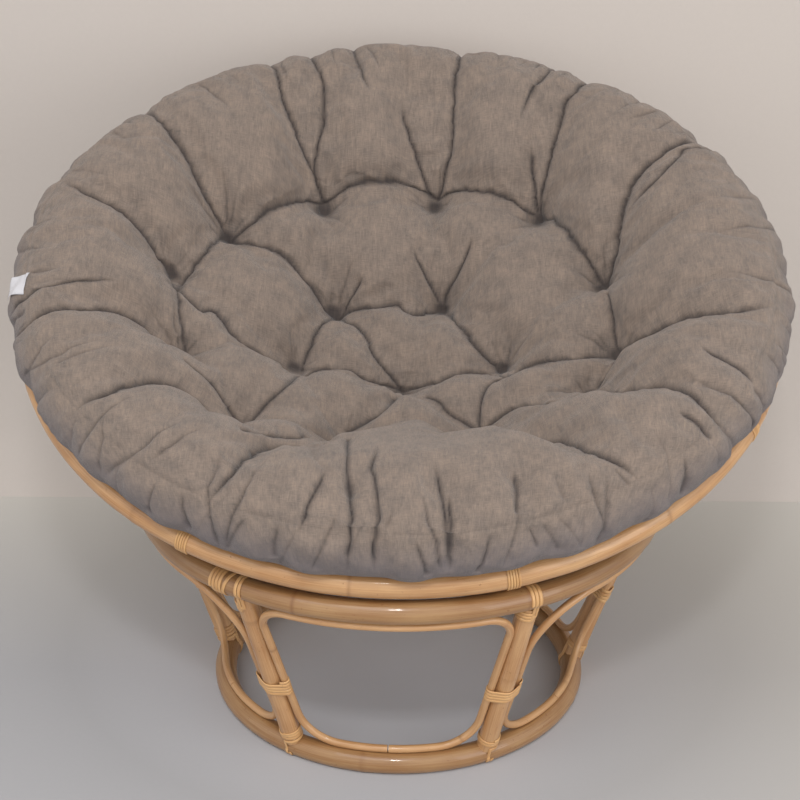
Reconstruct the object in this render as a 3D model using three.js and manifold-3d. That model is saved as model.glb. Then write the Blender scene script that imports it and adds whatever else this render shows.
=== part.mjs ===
// A papasan chair: a tufted round cushion in a rattan bowl that rests on a rattan base.
// Units are millimetres, +Z is up, and the front of the chair faces -Y.

import * as THREE from 'three';
import { mergeVertices } from 'three/addons/utils/BufferGeometryUtils.js';
import Module from 'manifold-3d';

const wasm = await Module();
wasm.setup();

// Base: two rings, six posts, and a bent loop in each window between posts
const floorRingRadius = 260;
const seatRingRadius = 359;
const seatRingHeight = 310;
const ringPoleRadius = 16;
const floorFlatDepth = 2;
const postRadius = 14;
const postAngles = [-33.5, 27.5, 91, 144.5, 205, 261.5];
const loopPoleRadius = 5.5;
const loopFootCorner = 62;
const loopJointGap = 1.5;
const loopHeadCorners = { front: 34, side: 74, rear: 52 };
const windowKinds = ['front', 'side', 'rear', 'rear', 'rear', 'side'];
const waistShare = 0.42;

// Bowl: a rim and a lower ring joined by ribs that lie on a sphere, so it rocks on the seat ring.
// It is tilted forward until the rim stands off from the seat ring, as measured along the ribs.
const rimRadius = 530;
const rimPoleRadius = 17;
const bowlDepth = 298;
const lowerRingRadius = 170;
const lowerRingPoleRadius = 9.5;
const ribRadius = 12;
const ribCount = 8;
const ribNeckLength = 45;
const rimStandOff = 23;
const bowlSwivel = 15;

// Peel: the strip of rattan bark that is wound round every joint
const peelWidth = 4.5;
const peelThickness = 1.3;
const peelSpacing = 0.9;
const peelClearance = 0.5;
const waistClearance = 0.9;
const waistTurns = 4;
const headSlings = 3;
const footSlings = 2;
const ribFootSlings = 1;
const spliceTurns = 4;
const notchMargin = 1;

// Cushion: heights are above the plane of the rim's centre line, and its roundings are set in
// from the rim or hang over it
const dishDepth = 98;
const dishShares = [0.12, 0.22, 0.29, 0.36, 0.45, 0.55, 0.64, 0.73, 0.83, 0.92];
const dishFullnessShare = 0.25;
const crownInset = 60;
const crownHeight = 104;
const seamInset = 4;
const seamHeight = 90;
const sideOverhang = 23;
const sideHeight = 50;
const tuckInset = 62;
const bedShares = [1, 0.84, 0.66, 0.46, 0.24];
const tuftDepth = 34;
const tuftSpread = 42;
const centreTuftDepth = 30;
const furrowDepth = 13;
const pleatDepth = 4;
const outerTuftRadius = 298;
const innerTuftRadius = 136;
const outerTuftAngles = [-18, 24, 59, 75, 102, 136, 169, 206, 238, 260, 288, 317];
const outerTuftShares = [0.86, 0.88, 1.03, 1.05, 1.02, 1.01, 0.92, 0.95, 1.04, 1.1, 1.08, 1.06];
const innerTuftAngles = [0, 75, 149, 229, 285];
const innerTuftShares = [0.62, 1.14, 0.9, 1, 1.16];

// Care tag, sewn into the left of the cushion's seam and folded down over its side
const tagLength = 38;
const tagWidth = 34;
const tagThickness = 0.8;
const tagTuft = 9;
const tagStepsPastTuft = 2.5;

// Fits, the overrun of cuts, and how near two corners count as one
const seatGap = 0.3;
const cushionGap = 0.9;
const cutOverrun = 8;
const cornerTolerance = 0.0003;

// Facets of the round sections and of the turns
const poleSides = 10;
const floorRingSides = 12;
const loopSides = 6;
const ribSides = 8;
const floorRingSteps = 64;
const seatRingSteps = 84;
const rimSteps = 96;
const lowerRingSteps = 48;
const ribSteps = 8;
const rimWrapSteps = 2;
const rimWrapStart = 60;
const rimWrapEnd = 150;
const cornerSteps = 4;
const ringPassSteps = 5;
const neckStepTurn = 41;
const stepsBetweenTufts = 4;

const deg = Math.PI / 180;
const up = new THREE.Vector3(0, 0, 1);

const cane = finish('#bd9464', 0.42);
const thinCane = finish('#c59d6e', 0.45);
const peelFinish = finish('#cfab7c', 0.5);
const cloth = finish('#8b8079', 0.95);
const tagCloth = finish('#f1efe9', 0.9);

function finish(color, roughness) {
  return new THREE.MeshStandardMaterial({ color, roughness, metalness: 0 });
}

// Places round the chair: angle 0 is the front and grows towards +X
function around(angle, radius, height) {
  return new THREE.Vector3(radius * Math.sin(angle * deg), -radius * Math.cos(angle * deg), height);
}

function outwardAt(angle) {
  return around(angle, 1, 0);
}

function tangentAt(angle) {
  return around(angle + 90, 1, 0);
}

// Solids for cutting
function toSolid(geometry) {
  const bare = geometry.clone();
  bare.deleteAttribute('normal');
  bare.deleteAttribute('uv');
  const merged = mergeVertices(bare, cornerTolerance);
  const source = new wasm.Mesh({
    numProp: 3,
    vertProperties: Float32Array.from(merged.attributes.position.array),
    triVerts: Uint32Array.from(merged.index.array),
  });
  return new wasm.Manifold(source);
}

function toGeometry(solid) {
  const source = solid.getMesh();
  const geometry = new THREE.BufferGeometry();
  geometry.setAttribute('position', new THREE.BufferAttribute(source.vertProperties, 3));
  geometry.setIndex(new THREE.BufferAttribute(source.triVerts, 1));
  geometry.computeVertexNormals();
  return geometry;
}

function boxSolid(size, centre, turn) {
  const box = new THREE.BoxGeometry(size.x, size.y, size.z);
  box.rotateZ(turn);
  box.translate(centre.x, centre.y, centre.z);
  return toSolid(box);
}

// A bent pole: a round section carried along straight stretches and stepped bends
class PoleRoute extends THREE.Curve {
  constructor(nodes) {
    super();
    this.nodes = nodes;
  }

  getPoint(share) {
    const place = share * (this.nodes.length - 1);
    const first = Math.min(Math.floor(place), this.nodes.length - 2);
    return this.nodes[first].clone().lerp(this.nodes[first + 1], place - first);
  }

  getPointAt(share) {
    return this.getPoint(share);
  }

  getTangentAt(share) {
    return directionAt(this.nodes, Math.round(share * (this.nodes.length - 1)));
  }
}

function directionAt(nodes, index) {
  const here = nodes[index];
  const before = nodes[Math.max(index - 1, 0)];
  const after = nodes[Math.min(index + 1, nodes.length - 1)];
  const arriving = here.clone().sub(before).normalize();
  const leaving = after.clone().sub(here).normalize();
  return arriving.add(leaving).normalize();
}

function bentPole(nodes, radius, sides) {
  const section = new THREE.Shape().absarc(0, 0, radius, 0, 2 * Math.PI);
  return new THREE.ExtrudeGeometry(section, {
    steps: nodes.length - 1,
    curveSegments: sides / 2,
    extrudePath: new PoleRoute(nodes),
  });
}

// A ring whose centre line lies level at the given height
function poleRing(radius, poleRadius, height, sides, steps) {
  return new THREE.TorusGeometry(radius, poleRadius, sides, steps).translate(0, 0, height);
}

// A straight pole from one point to another
function straightPole(from, to, radius, sides) {
  const length = from.distanceTo(to);
  const pole = new THREE.CylinderGeometry(radius, radius, length, sides);
  const axis = to.clone().sub(from).normalize();
  pole.applyQuaternion(new THREE.Quaternion().setFromUnitVectors(new THREE.Vector3(0, 1, 0), axis));
  const middle = from.clone().lerp(to, 0.5);
  return pole.translate(middle.x, middle.y, middle.z);
}

// Base rings and posts
const floorRingHeight = ringPoleRadius - floorFlatDepth;
const postRise = seatRingHeight - floorRingHeight;
const postSpread = seatRingRadius - floorRingRadius;
const postCount = postAngles.length;

function postAxis(angle) {
  return outwardAt(angle).multiplyScalar(postSpread).addScaledVector(up, postRise).normalize();
}

function postFoot(angle) {
  return around(angle, floorRingRadius, floorRingHeight);
}

function postHead(angle) {
  return around(angle, seatRingRadius, seatRingHeight);
}

// The peel passes under the floor ring in a shallow notch, so that the ring still lies flat
const peelUnderside = peelThickness + seatGap;
const notchHeight = peelUnderside + seatGap;

function floorRing() {
  const whole = poleRing(floorRingRadius, ringPoleRadius, floorRingHeight, floorRingSides, floorRingSteps);
  let solid = toSolid(whole).trimByPlane(up.toArray(), 0);
  const width = slingBandWidth(footSlings) + 2 * notchMargin;
  const size = new THREE.Vector3(width, 2 * (ringPoleRadius + cutOverrun), 2 * notchHeight);
  for (const angle of postAngles) {
    solid = solid.subtract(boxSolid(size, around(angle, floorRingRadius, 0), angle * deg));
  }
  return toGeometry(solid);
}

function copedPost(angle) {
  const pole = toSolid(straightPole(postFoot(angle), postHead(angle), postRadius, poleSides));
  const reach = ringPoleRadius + seatGap;
  const head = toSolid(poleRing(seatRingRadius, reach, seatRingHeight, poleSides, seatRingSteps));
  const foot = toSolid(poleRing(floorRingRadius, reach, floorRingHeight, floorRingSides, floorRingSteps));
  return toGeometry(pole.subtract(head).subtract(foot));
}

// Window loops: each lies on the cone of the posts, with its ends butted in the middle of its foot
const loopSeat = ringPoleRadius + seatGap + loopPoleRadius;
const loopBottom = floorRingHeight + loopSeat;
const loopTop = seatRingHeight - loopSeat;
const loopSlant = Math.hypot(loopTop - loopBottom, postSpread);
const loopStandOff = postRadius + seatGap + loopPoleRadius;

// Corner of a flat outline, rounded to a radius
function roundedCorner(before, corner, after, radius) {
  const toBefore = before.clone().sub(corner).normalize();
  const toAfter = after.clone().sub(corner).normalize();
  const halfAngle = toBefore.angleTo(toAfter) / 2;
  const bisector = toBefore.clone().add(toAfter).normalize();
  const centre = corner.clone().addScaledVector(bisector, radius / Math.sin(halfAngle));
  const start = corner.clone().addScaledVector(toBefore, radius / Math.tan(halfAngle)).sub(centre);
  const turn = Math.PI - 2 * halfAngle;
  const side = Math.sign(toBefore.cross(toAfter));
  const points = [];
  for (let step = 0; step <= cornerSteps; step++) {
    const swing = (-side * turn * step) / cornerSteps;
    points.push(start.clone().rotateAround(new THREE.Vector2(), swing).add(centre));
  }
  return points;
}

function windowLoop(index) {
  const from = postAngles[index];
  const next = index + 1 < postCount ? postAngles[index + 1] : postAngles[0] + 360;
  const middle = (from + next) / 2;
  const halfTurn = ((next - from) / 2) * deg;
  const footHalf = floorRingRadius * halfTurn - loopStandOff;
  const headHalf = seatRingRadius * halfTurn - loopStandOff;
  const corners = [
    new THREE.Vector2(-footHalf, 0),
    new THREE.Vector2(-headHalf, loopSlant),
    new THREE.Vector2(headHalf, loopSlant),
    new THREE.Vector2(footHalf, 0),
  ];
  const headCorner = loopHeadCorners[windowKinds[index]];
  const radii = [loopFootCorner, headCorner, headCorner, loopFootCorner];
  const outline = [new THREE.Vector2(-loopJointGap / 2, 0)];
  corners.forEach((corner, place) => {
    const before = corners[(place + 3) % 4];
    const after = corners[(place + 1) % 4];
    outline.push(...roundedCorner(before, corner, after, radii[place]));
  });
  outline.push(new THREE.Vector2(loopJointGap / 2, 0));
  const nodes = refined(outline).map((point) => {
    const share = point.y / loopSlant;
    const radius = floorRingRadius + share * postSpread;
    return around(middle + point.x / radius / deg, radius, loopBottom + share * (loopTop - loopBottom));
  });
  return bentPole(nodes, loopPoleRadius, loopSides);
}

// Long stretches along a ring are split, so that the pole follows the ring's curve
function refined(outline) {
  const longest = loopFootCorner;
  const points = [outline[0]];
  for (let place = 1; place < outline.length; place++) {
    const start = outline[place - 1];
    const end = outline[place];
    const level = Math.abs(end.y - start.y) < loopPoleRadius;
    const pieces = level ? Math.ceil(start.distanceTo(end) / longest) : 1;
    for (let piece = 1; piece <= pieces; piece++) {
      points.push(start.clone().lerp(end, piece / pieces));
    }
  }
  return points;
}

// A solid from its corners and the triangles between them
function meshOf(corners, index) {
  const geometry = new THREE.BufferGeometry();
  const places = corners.flatMap((corner) => corner.toArray());
  geometry.setAttribute('position', new THREE.Float32BufferAttribute(places, 3));
  geometry.setIndex(index);
  geometry.computeVertexNormals();
  return geometry;
}

// An unbroken strip of peel, flat inside and crowned outside, carried through stations. Each
// station holds a point of the strip's inner face and the direction outward from there.
function peelStrip(stations) {
  const last = stations.length - 1;
  const points = stations.map(({ point }) => point);
  noteLeastGap(points);
  const positions = [];
  stations.forEach(({ point, out }, index) => {
    const along = directionAt(points, index);
    const side = new THREE.Vector3().crossVectors(along, out).normalize();
    const face = new THREE.Vector3().crossVectors(side, along).normalize();
    const spread = (peelWidth / 2) * mitreAt(points, index, face);
    positions.push(point.clone().addScaledVector(face, peelThickness));
    positions.push(point.clone().addScaledVector(side, -spread));
    positions.push(point.clone().addScaledVector(side, spread));
  });
  const index = [];
  for (let step = 0; step < last; step++) {
    for (let corner = 0; corner < 3; corner++) {
      const a = 3 * step + corner;
      const b = 3 * step + ((corner + 1) % 3);
      index.push(a, a + 3, b + 3, a, b + 3, b);
    }
  }
  index.push(0, 1, 2, 3 * last, 3 * last + 2, 3 * last + 1);
  return meshOf(positions, index);
}

// The least distance between the middle lines of two passes of one strip, less the strip's width
let leastPeelGap = Infinity;

function noteLeastGap(points) {
  const samplesEach = 8;
  const samples = [];
  let travelled = 0;
  for (let index = 1; index < points.length; index++) {
    const from = points[index - 1];
    const length = from.distanceTo(points[index]);
    for (let sample = 0; sample < samplesEach; sample++) {
      const share = sample / samplesEach;
      samples.push({ point: from.clone().lerp(points[index], share), at: travelled + share * length });
    }
    travelled += length;
  }
  const anotherPass = 4 * peelWidth;
  for (const one of samples) {
    for (const other of samples) {
      if (other.at - one.at > anotherPass) {
        leastPeelGap = Math.min(leastPeelGap, one.point.distanceTo(other.point) - peelWidth);
      }
    }
  }
}

// How much wider the mitre is where the strip turns within its own face
function mitreAt(points, index, face) {
  if (index === 0 || index === points.length - 1) {
    return 1;
  }
  const arriving = points[index].clone().sub(points[index - 1]).projectOnPlane(face);
  const leaving = points[index + 1].clone().sub(points[index]).projectOnPlane(face);
  return 1 / Math.cos(arriving.angleTo(leaving) / 2);
}

const peelPitch = peelWidth + peelSpacing;

function slingBandWidth(slings) {
  return slings * peelPitch;
}

// Corners of the strip's path round a pole stand off, so that its flats clear the pole
function passReach(poleRadius) {
  return (poleRadius + peelClearance) / Math.cos(Math.PI / ringPassSteps / 2);
}

function neckReach(poleRadius) {
  return (poleRadius + peelClearance) / Math.cos((neckStepTurn * deg) / 2);
}

// A lashing of slings: each passes over the ring, down the front of the neck, round its right
// side, and up its back to the next pass. The frame holds the ring's centre, the directions
// away from it down the neck, along the ring, and to the neck's front. Turns round the ring alone,
// beside the neck, can come first.
function lashing(frame, ringRadius, neckRadius, { slings, ringTurns = 0, keep = null }) {
  const { centre, down, along, front } = frame;
  const aim = (x, f, d) =>
    new THREE.Vector3().addScaledVector(along, x).addScaledVector(front, f).addScaledVector(down, d);
  const place = (x, f, d) => aim(x, f, d).add(centre);
  const lengthwise = new THREE.Vector3().crossVectors(up, centre);
  const ringBend = lengthwise.length() * Math.sign(lengthwise.dot(along));
  const ringCircle = passReach(ringRadius);
  const neckCircle = neckReach(neckRadius);
  const lateral = (sling) => ((slings - 1) / 2 - sling) * peelPitch;
  const level = (sling) => ringCircle + (sling + 0.5) * peelPitch;
  const onRing = (x, step) => {
    const swing = (Math.PI * step) / ringPassSteps;
    const leavesRing = step === 0 || step === ringPassSteps;
    const reach = leavesRing ? Math.max(ringCircle, neckCircle) : ringCircle;
    return {
      point: place(0, reach * Math.cos(swing), -reach * Math.sin(swing)).applyAxisAngle(up, x / ringBend),
      out: aim(0, Math.cos(swing), -Math.sin(swing)).applyAxisAngle(up, x / ringBend),
    };
  };
  const onNeck = (swing, d) => ({
    point: place(neckCircle * Math.sin(swing), neckCircle * Math.cos(swing), d),
    out: aim(Math.sin(swing), Math.cos(swing), 0),
  });
  const stations = [];
  const turnSteps = 2 * ringPassSteps;
  const besideNeck = neckCircle + peelThickness + peelWidth;
  for (let step = ringTurns * turnSteps; step > 0; step--) {
    stations.push(onRing(besideNeck + (step / turnSteps) * peelPitch, (step % turnSteps) + ringPassSteps));
  }
  for (let sling = 0; sling < slings; sling++) {
    const frontSwing = Math.asin(lateral(sling) / neckCircle);
    for (let step = ringPassSteps; step >= 0; step--) {
      const drift = sling === 0 && ringTurns > 0 ? (step / ringPassSteps) * (besideNeck - lateral(0)) : 0;
      stations.push(onRing(lateral(sling) + drift, step));
    }
    stations.push(onNeck(frontSwing, level(sling)));
    const nextPass = sling + 1 < slings ? lateral(sling + 1) : 0;
    const backSwing = Math.PI - Math.asin(nextPass / neckCircle);
    const neckSteps = Math.ceil((backSwing - frontSwing) / (neckStepTurn * deg));
    for (let step = 1; step <= neckSteps; step++) {
      stations.push(onNeck(frontSwing + ((backSwing - frontSwing) * step) / neckSteps, level(sling)));
    }
  }
  return peelStrip(eased(keep ? keep(stations) : stations));
}

// The long stretches between ring and neck get a station in the middle, so that the strip turns
// over gradually
function eased(stations) {
  const kept = [stations[0]];
  for (let index = 1; index < stations.length; index++) {
    const from = stations[index - 1];
    const to = stations[index];
    if (from.point.distanceTo(to.point) > 3 * peelWidth) {
      const point = from.point.clone().lerp(to.point, 0.5);
      kept.push({ point, out: from.out.clone().add(to.out).normalize() });
    }
    kept.push(to);
  }
  return kept;
}

// Under the floor ring the strip runs flat through its notch, just clear of the floor
function flattenedUnder(stations, angle) {
  const reach = ringPoleRadius + peelClearance;
  const halfFlat = Math.sqrt(reach ** 2 - (floorRingHeight - peelUnderside) ** 2);
  const outward = outwardAt(angle);
  const kept = [];
  let wasUnder = false;
  for (const station of stations) {
    const under = station.point.z < peelUnderside;
    if (under && !wasUnder) {
      const inside = station.point.dot(outward) < floorRingRadius;
      const lateral = station.point.clone().projectOnVector(tangentAt(angle));
      for (const side of inside ? [-1, 1] : [1, -1]) {
        const point = around(angle, floorRingRadius + side * halfFlat, peelUnderside).add(lateral);
        const out = outward.clone().multiplyScalar(side * halfFlat);
        out.addScaledVector(up, peelUnderside - floorRingHeight - reach).normalize();
        kept.push({ point, out });
      }
    }
    if (!under) {
      kept.push(station);
    }
    wasUnder = under;
  }
  return kept;
}

function topBinding(angle, ringTurns) {
  const down = postAxis(angle).negate();
  const along = tangentAt(angle).negate();
  const front = new THREE.Vector3().crossVectors(down, along);
  const frame = { centre: postHead(angle), down, along, front };
  return lashing(frame, ringPoleRadius, postRadius, { slings: headSlings, ringTurns });
}

function footBinding(angle) {
  const down = postAxis(angle);
  const along = tangentAt(angle);
  const front = new THREE.Vector3().crossVectors(down, along);
  const frame = { centre: postFoot(angle), down, along, front };
  const keep = (stations) => flattenedUnder(stations, angle);
  return lashing(frame, ringPoleRadius, postRadius, { slings: footSlings, keep });
}

// The waist winding goes round a post and the uprights of the loops on both sides of it, on the
// corners of the tight outline that touches all three
function waistBinding(angle) {
  const axis = postAxis(angle);
  const along = tangentAt(angle);
  const front = new THREE.Vector3().crossVectors(along, axis);
  const post = postFoot(angle).lerp(postHead(angle), waistShare);
  const right = uprightBeside(angle, 1, post.z);
  const left = uprightBeside(angle, -1, post.z);
  const lean = Math.asin((postRadius - loopPoleRadius) / loopStandOff) / deg;
  const onLoop = (90 - lean) / 2;
  const loopReach = (loopPoleRadius + waistClearance) / Math.cos(onLoop * deg);
  const postReach = (postRadius + waistClearance) / Math.cos(lean * deg);
  const corners = [
    { centre: right, swing: -onLoop, reach: loopReach },
    { centre: right, swing: onLoop, reach: loopReach },
    { centre: post, swing: 90, reach: postReach },
    { centre: left, swing: 180 - onLoop, reach: loopReach },
    { centre: left, swing: 180 + onLoop, reach: loopReach },
    { centre: post, swing: 270, reach: postReach },
  ];
  const stations = [];
  for (let step = 0; step <= waistTurns * corners.length; step++) {
    const { centre, swing, reach } = corners[step % corners.length];
    const out = along.clone().multiplyScalar(Math.cos(swing * deg));
    out.addScaledVector(front, Math.sin(swing * deg));
    const point = centre.clone().addScaledVector(out, reach);
    point.addScaledVector(axis, (step / corners.length) * peelPitch);
    stations.push({ point, out });
  }
  return peelStrip(stations);
}

function uprightBeside(angle, side, height) {
  const radius = floorRingRadius + ((height - loopBottom) / (loopTop - loopBottom)) * postSpread;
  return around(angle + (side * loopStandOff) / radius / deg, radius, height);
}

// Bowl, built about the centre of its sphere
const bowlSphereRadius = (rimRadius ** 2 + bowlDepth ** 2) / (2 * bowlDepth);
const rimDrop = -Math.sqrt(bowlSphereRadius ** 2 - rimRadius ** 2);
const lowerRingDrop = -Math.sqrt(bowlSphereRadius ** 2 - lowerRingRadius ** 2);
const rimSwing = Math.asin(rimRadius / bowlSphereRadius);
const lowerRingSwing = Math.asin(lowerRingRadius / bowlSphereRadius);

function onSphere(angle, swing, radius = bowlSphereRadius) {
  return around(angle, radius * Math.sin(swing), -radius * Math.cos(swing));
}

// A rib is straight for a short neck at each end, where the peel holds it, and bent between
function ribNodes(angle) {
  const neck = ribNeckLength / bowlSphereRadius;
  const top = rimSwing - neck;
  const bottom = lowerRingSwing + neck;
  const nodes = [onSphere(angle, rimSwing)];
  for (let step = 0; step <= ribSteps; step++) {
    nodes.push(onSphere(angle, top + ((bottom - top) * step) / ribSteps));
  }
  nodes.push(onSphere(angle, lowerRingSwing));
  return nodes;
}

function bowlRib(angle) {
  const rib = toSolid(bentPole(ribNodes(angle), ribRadius, ribSides));
  const rim = toSolid(poleRing(rimRadius, rimPoleRadius + seatGap, rimDrop, poleSides, rimSteps));
  const lowerReach = lowerRingPoleRadius + seatGap;
  const lower = toSolid(poleRing(lowerRingRadius, lowerReach, lowerRingDrop, ribSides, lowerRingSteps));
  return toGeometry(rib.subtract(rim).subtract(lower));
}

// At the rim the peel is a band over the rim, joined to a collar round the rib's neck
function rimSleeve(angle) {
  const nodes = ribNodes(angle);
  const down = nodes[1].clone().sub(nodes[0]).normalize();
  const bandReach = passReach(rimPoleRadius);
  const halfBand = tangentAt(angle).multiplyScalar(slingBandWidth(headSlings) / 2);
  const bandStart = nodes[0].clone().sub(halfBand);
  const bandEnd = nodes[0].clone().add(halfBand);
  const band = toSolid(straightPole(bandStart, bandEnd, bandReach + peelThickness, poleSides));
  const collarEnd = nodes[0].clone().addScaledVector(down, bandReach + slingBandWidth(headSlings));
  const collarReach = neckReach(ribRadius) + peelThickness;
  const collar = toSolid(straightPole(nodes[0], collarEnd, collarReach, ribSides));
  const rim = toSolid(poleRing(rimRadius, rimPoleRadius + seatGap, rimDrop, poleSides, rimSteps));
  const rib = toSolid(bentPole(nodes, ribRadius + seatGap, ribSides));
  return toGeometry(band.add(collar).subtract(rim).subtract(rib));
}

function ribFootLashing(angle) {
  const nodes = ribNodes(angle).reverse();
  const down = nodes[1].clone().sub(nodes[0]).normalize();
  const along = tangentAt(angle);
  const front = new THREE.Vector3().crossVectors(down, along);
  const frame = { centre: nodes[0], down, along, front };
  return lashing(frame, lowerRingPoleRadius, ribRadius, { slings: ribFootSlings });
}

// Cushion: an outline from the middle of the dish, over the crown and the side, round the rim
// and back along the inside of the ribs
const crownRadius = rimRadius - crownInset;
const seamRadius = rimRadius - seamInset;
const sideRadius = rimRadius + sideOverhang;
const sideBulge = new THREE.Vector2((seamRadius + 2 * sideRadius) / 3, (seamHeight + sideHeight) / 2);

function cushionOutline() {
  const dish = dishShares.map((share) => new THREE.Vector2(share * crownRadius, dishHeight(share)));
  const crown = [
    new THREE.Vector2(crownRadius, crownHeight),
    new THREE.Vector2((crownRadius + seamRadius) / 2, (2 * crownHeight + seamHeight) / 3),
    new THREE.Vector2(seamRadius, seamHeight),
    sideBulge,
    new THREE.Vector2(sideRadius, sideHeight),
  ];
  const bedRadius = bowlSphereRadius - neckReach(ribRadius) - peelThickness - cushionGap;
  const tuckSwing = Math.asin((rimRadius - tuckInset) / bedRadius);
  const bed = bedShares.map((share) => {
    const swing = share * tuckSwing;
    return new THREE.Vector2(bedRadius * Math.sin(swing), -rimDrop - bedRadius * Math.cos(swing));
  });
  return { top: [...dish, ...crown], below: [...rimWrap(), ...bed], bottom: -rimDrop - bedRadius };
}

// The cloth lies round the top of the rim, with flats that clear the peel there
function rimWrap() {
  const step = (rimWrapEnd - rimWrapStart) / rimWrapSteps;
  const flatReach = passReach(rimPoleRadius) + peelThickness + cushionGap;
  const reach = flatReach / Math.cos((step / 2) * deg);
  const wrap = [];
  for (let place = 0; place <= rimWrapSteps; place++) {
    const turn = (rimWrapStart + place * step) * deg;
    wrap.push(new THREE.Vector2(rimRadius + reach * Math.cos(turn), reach * Math.sin(turn)));
  }
  return wrap;
}

function dishHeight(share) {
  const fullness = 1 + dishFullnessShare * (1 - share ** 4);
  return (crownHeight + dishDepth) * fullness * share ** 2 - dishDepth;
}

const outerTufts = outerTuftAngles.map((angle, index) => {
  return around(angle, outerTuftShares[index] * outerTuftRadius, 0);
});
const innerTufts = innerTuftAngles.map((angle, index) => {
  return around(angle, innerTuftShares[index] * innerTuftRadius, 0);
});

// How far the tufts and the furrows that run out from them draw a place on the top down
function drawnDown(angle, radius, onTuftLine) {
  const here = around(angle, radius, 0);
  let fall = 0;
  for (const tuft of outerTufts) {
    fall += tuftDepth * Math.exp(-(here.distanceTo(tuft) ** 2) / (2 * tuftSpread ** 2));
  }
  for (const tuft of innerTufts) {
    fall += centreTuftDepth * Math.exp(-(here.distanceTo(tuft) ** 2) / (2 * tuftSpread ** 2));
  }
  if (onTuftLine && radius > outerTuftRadius) {
    fall += furrowDepth;
  }
  return fall;
}

// Directions of the cushion's grid: one along each outer tuft and some between
function cushionDirections() {
  const directions = [];
  outerTuftAngles.forEach((from, index) => {
    const next = index + 1 < outerTuftAngles.length ? outerTuftAngles[index + 1] : outerTuftAngles[0] + 360;
    for (let step = 0; step < stepsBetweenTufts; step++) {
      const angle = from + ((next - from) * step) / stepsBetweenTufts;
      directions.push({ angle, onTuftLine: step === 0 });
    }
  });
  return directions;
}

function cushion() {
  const { top, below, bottom } = cushionOutline();
  const directions = cushionDirections();
  const rows = [...top, ...below];
  const positions = [];
  rows.forEach((row, rowIndex) => {
    const onTop = rowIndex < top.length;
    for (const { angle, onTuftLine } of directions) {
      const fall = onTop ? drawnDown(angle, row.x, onTuftLine) : 0;
      const atSide = onTop && row.x > seamRadius;
      const height = row.y - (atSide ? fall / 2 : fall);
      const inPleat = onTop && onTuftLine && row.x > crownRadius;
      const radius = row.x - (inPleat ? pleatDepth : 0);
      positions.push(around(angle, radius, height + rimDrop));
    }
  });
  const middle = positions.push(new THREE.Vector3(0, 0, rimDrop - dishDepth)) - 1;
  const base = positions.push(new THREE.Vector3(0, 0, rimDrop + bottom)) - 1;
  const count = directions.length;
  const index = [];
  for (let place = 0; place < count; place++) {
    const next = (place + 1) % count;
    index.push(middle, place, next);
    for (let row = 0; row + 1 < rows.length; row++) {
      const a = row * count + place;
      const b = row * count + next;
      index.push(a, a + count, b, b, a + count, b + count);
    }
    index.push(base, (rows.length - 1) * count + next, (rows.length - 1) * count + place);
  }
  return meshOf(positions, index);
}

// The tag hangs from the seam and lies against one facet of the cushion's side
function careTag() {
  const step = (outerTuftAngles[tagTuft + 1] - outerTuftAngles[tagTuft]) / stepsBetweenTufts;
  const angle = outerTuftAngles[tagTuft] + tagStepsPastTuft * step;
  const facet = Math.cos((step / 2) * deg);
  const seam = new THREE.Vector2(seamRadius * facet, seamHeight);
  const side = new THREE.Vector2(sideRadius * facet, sideHeight);
  const bulge = new THREE.Vector2(sideBulge.x * facet, sideBulge.y);
  const lean = Math.atan2(side.x - seam.x, seam.y - side.y);
  const outward = new THREE.Vector2(Math.cos(lean), Math.sin(lean));
  const lift = bulge.sub(seam).dot(outward) + seatGap + tagThickness / 2;
  const middle = seam.add(side).multiplyScalar(0.5).addScaledVector(outward, lift);
  const tag = new THREE.BoxGeometry(tagWidth, tagThickness, tagLength);
  tag.rotateX(-lean);
  tag.rotateZ(angle * deg);
  const place = around(angle, middle.x, middle.y + rimDrop);
  return tag.translate(place.x, place.y, place.z);
}

// Assembly
const chair = new THREE.Group();

function add(parent, name, geometry, material) {
  const mesh = new THREE.Mesh(geometry, material);
  mesh.name = name;
  parent.add(mesh);
}

function addBase() {
  add(chair, 'floor_ring', floorRing(), cane);
  const seatRing = poleRing(seatRingRadius, ringPoleRadius, seatRingHeight, poleSides, seatRingSteps);
  add(chair, 'seat_ring', seatRing, cane);
  postAngles.forEach((angle, place) => {
    const number = place + 1;
    add(chair, `post_${number}`, copedPost(angle), cane);
    add(chair, `window_loop_${number}`, windowLoop(place), thinCane);
    add(chair, `top_binding_${number}`, topBinding(angle, place === 0 ? spliceTurns : 0), peelFinish);
    add(chair, `waist_binding_${number}`, waistBinding(angle), peelFinish);
    add(chair, `foot_binding_${number}`, footBinding(angle), peelFinish);
  });
}

// The sphere of the ribs stands just clear of the peel on the seat ring
const bowlReach = bowlSphereRadius + ribRadius + seatGap + peelThickness + passReach(ringPoleRadius);
const bowlCentreHeight = seatRingHeight + Math.sqrt(bowlReach ** 2 - seatRingRadius ** 2);
const seatRingSwing = Math.asin(seatRingRadius / bowlReach);
const bowlTilt = rimSwing - seatRingSwing - rimStandOff / bowlSphereRadius;

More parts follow.
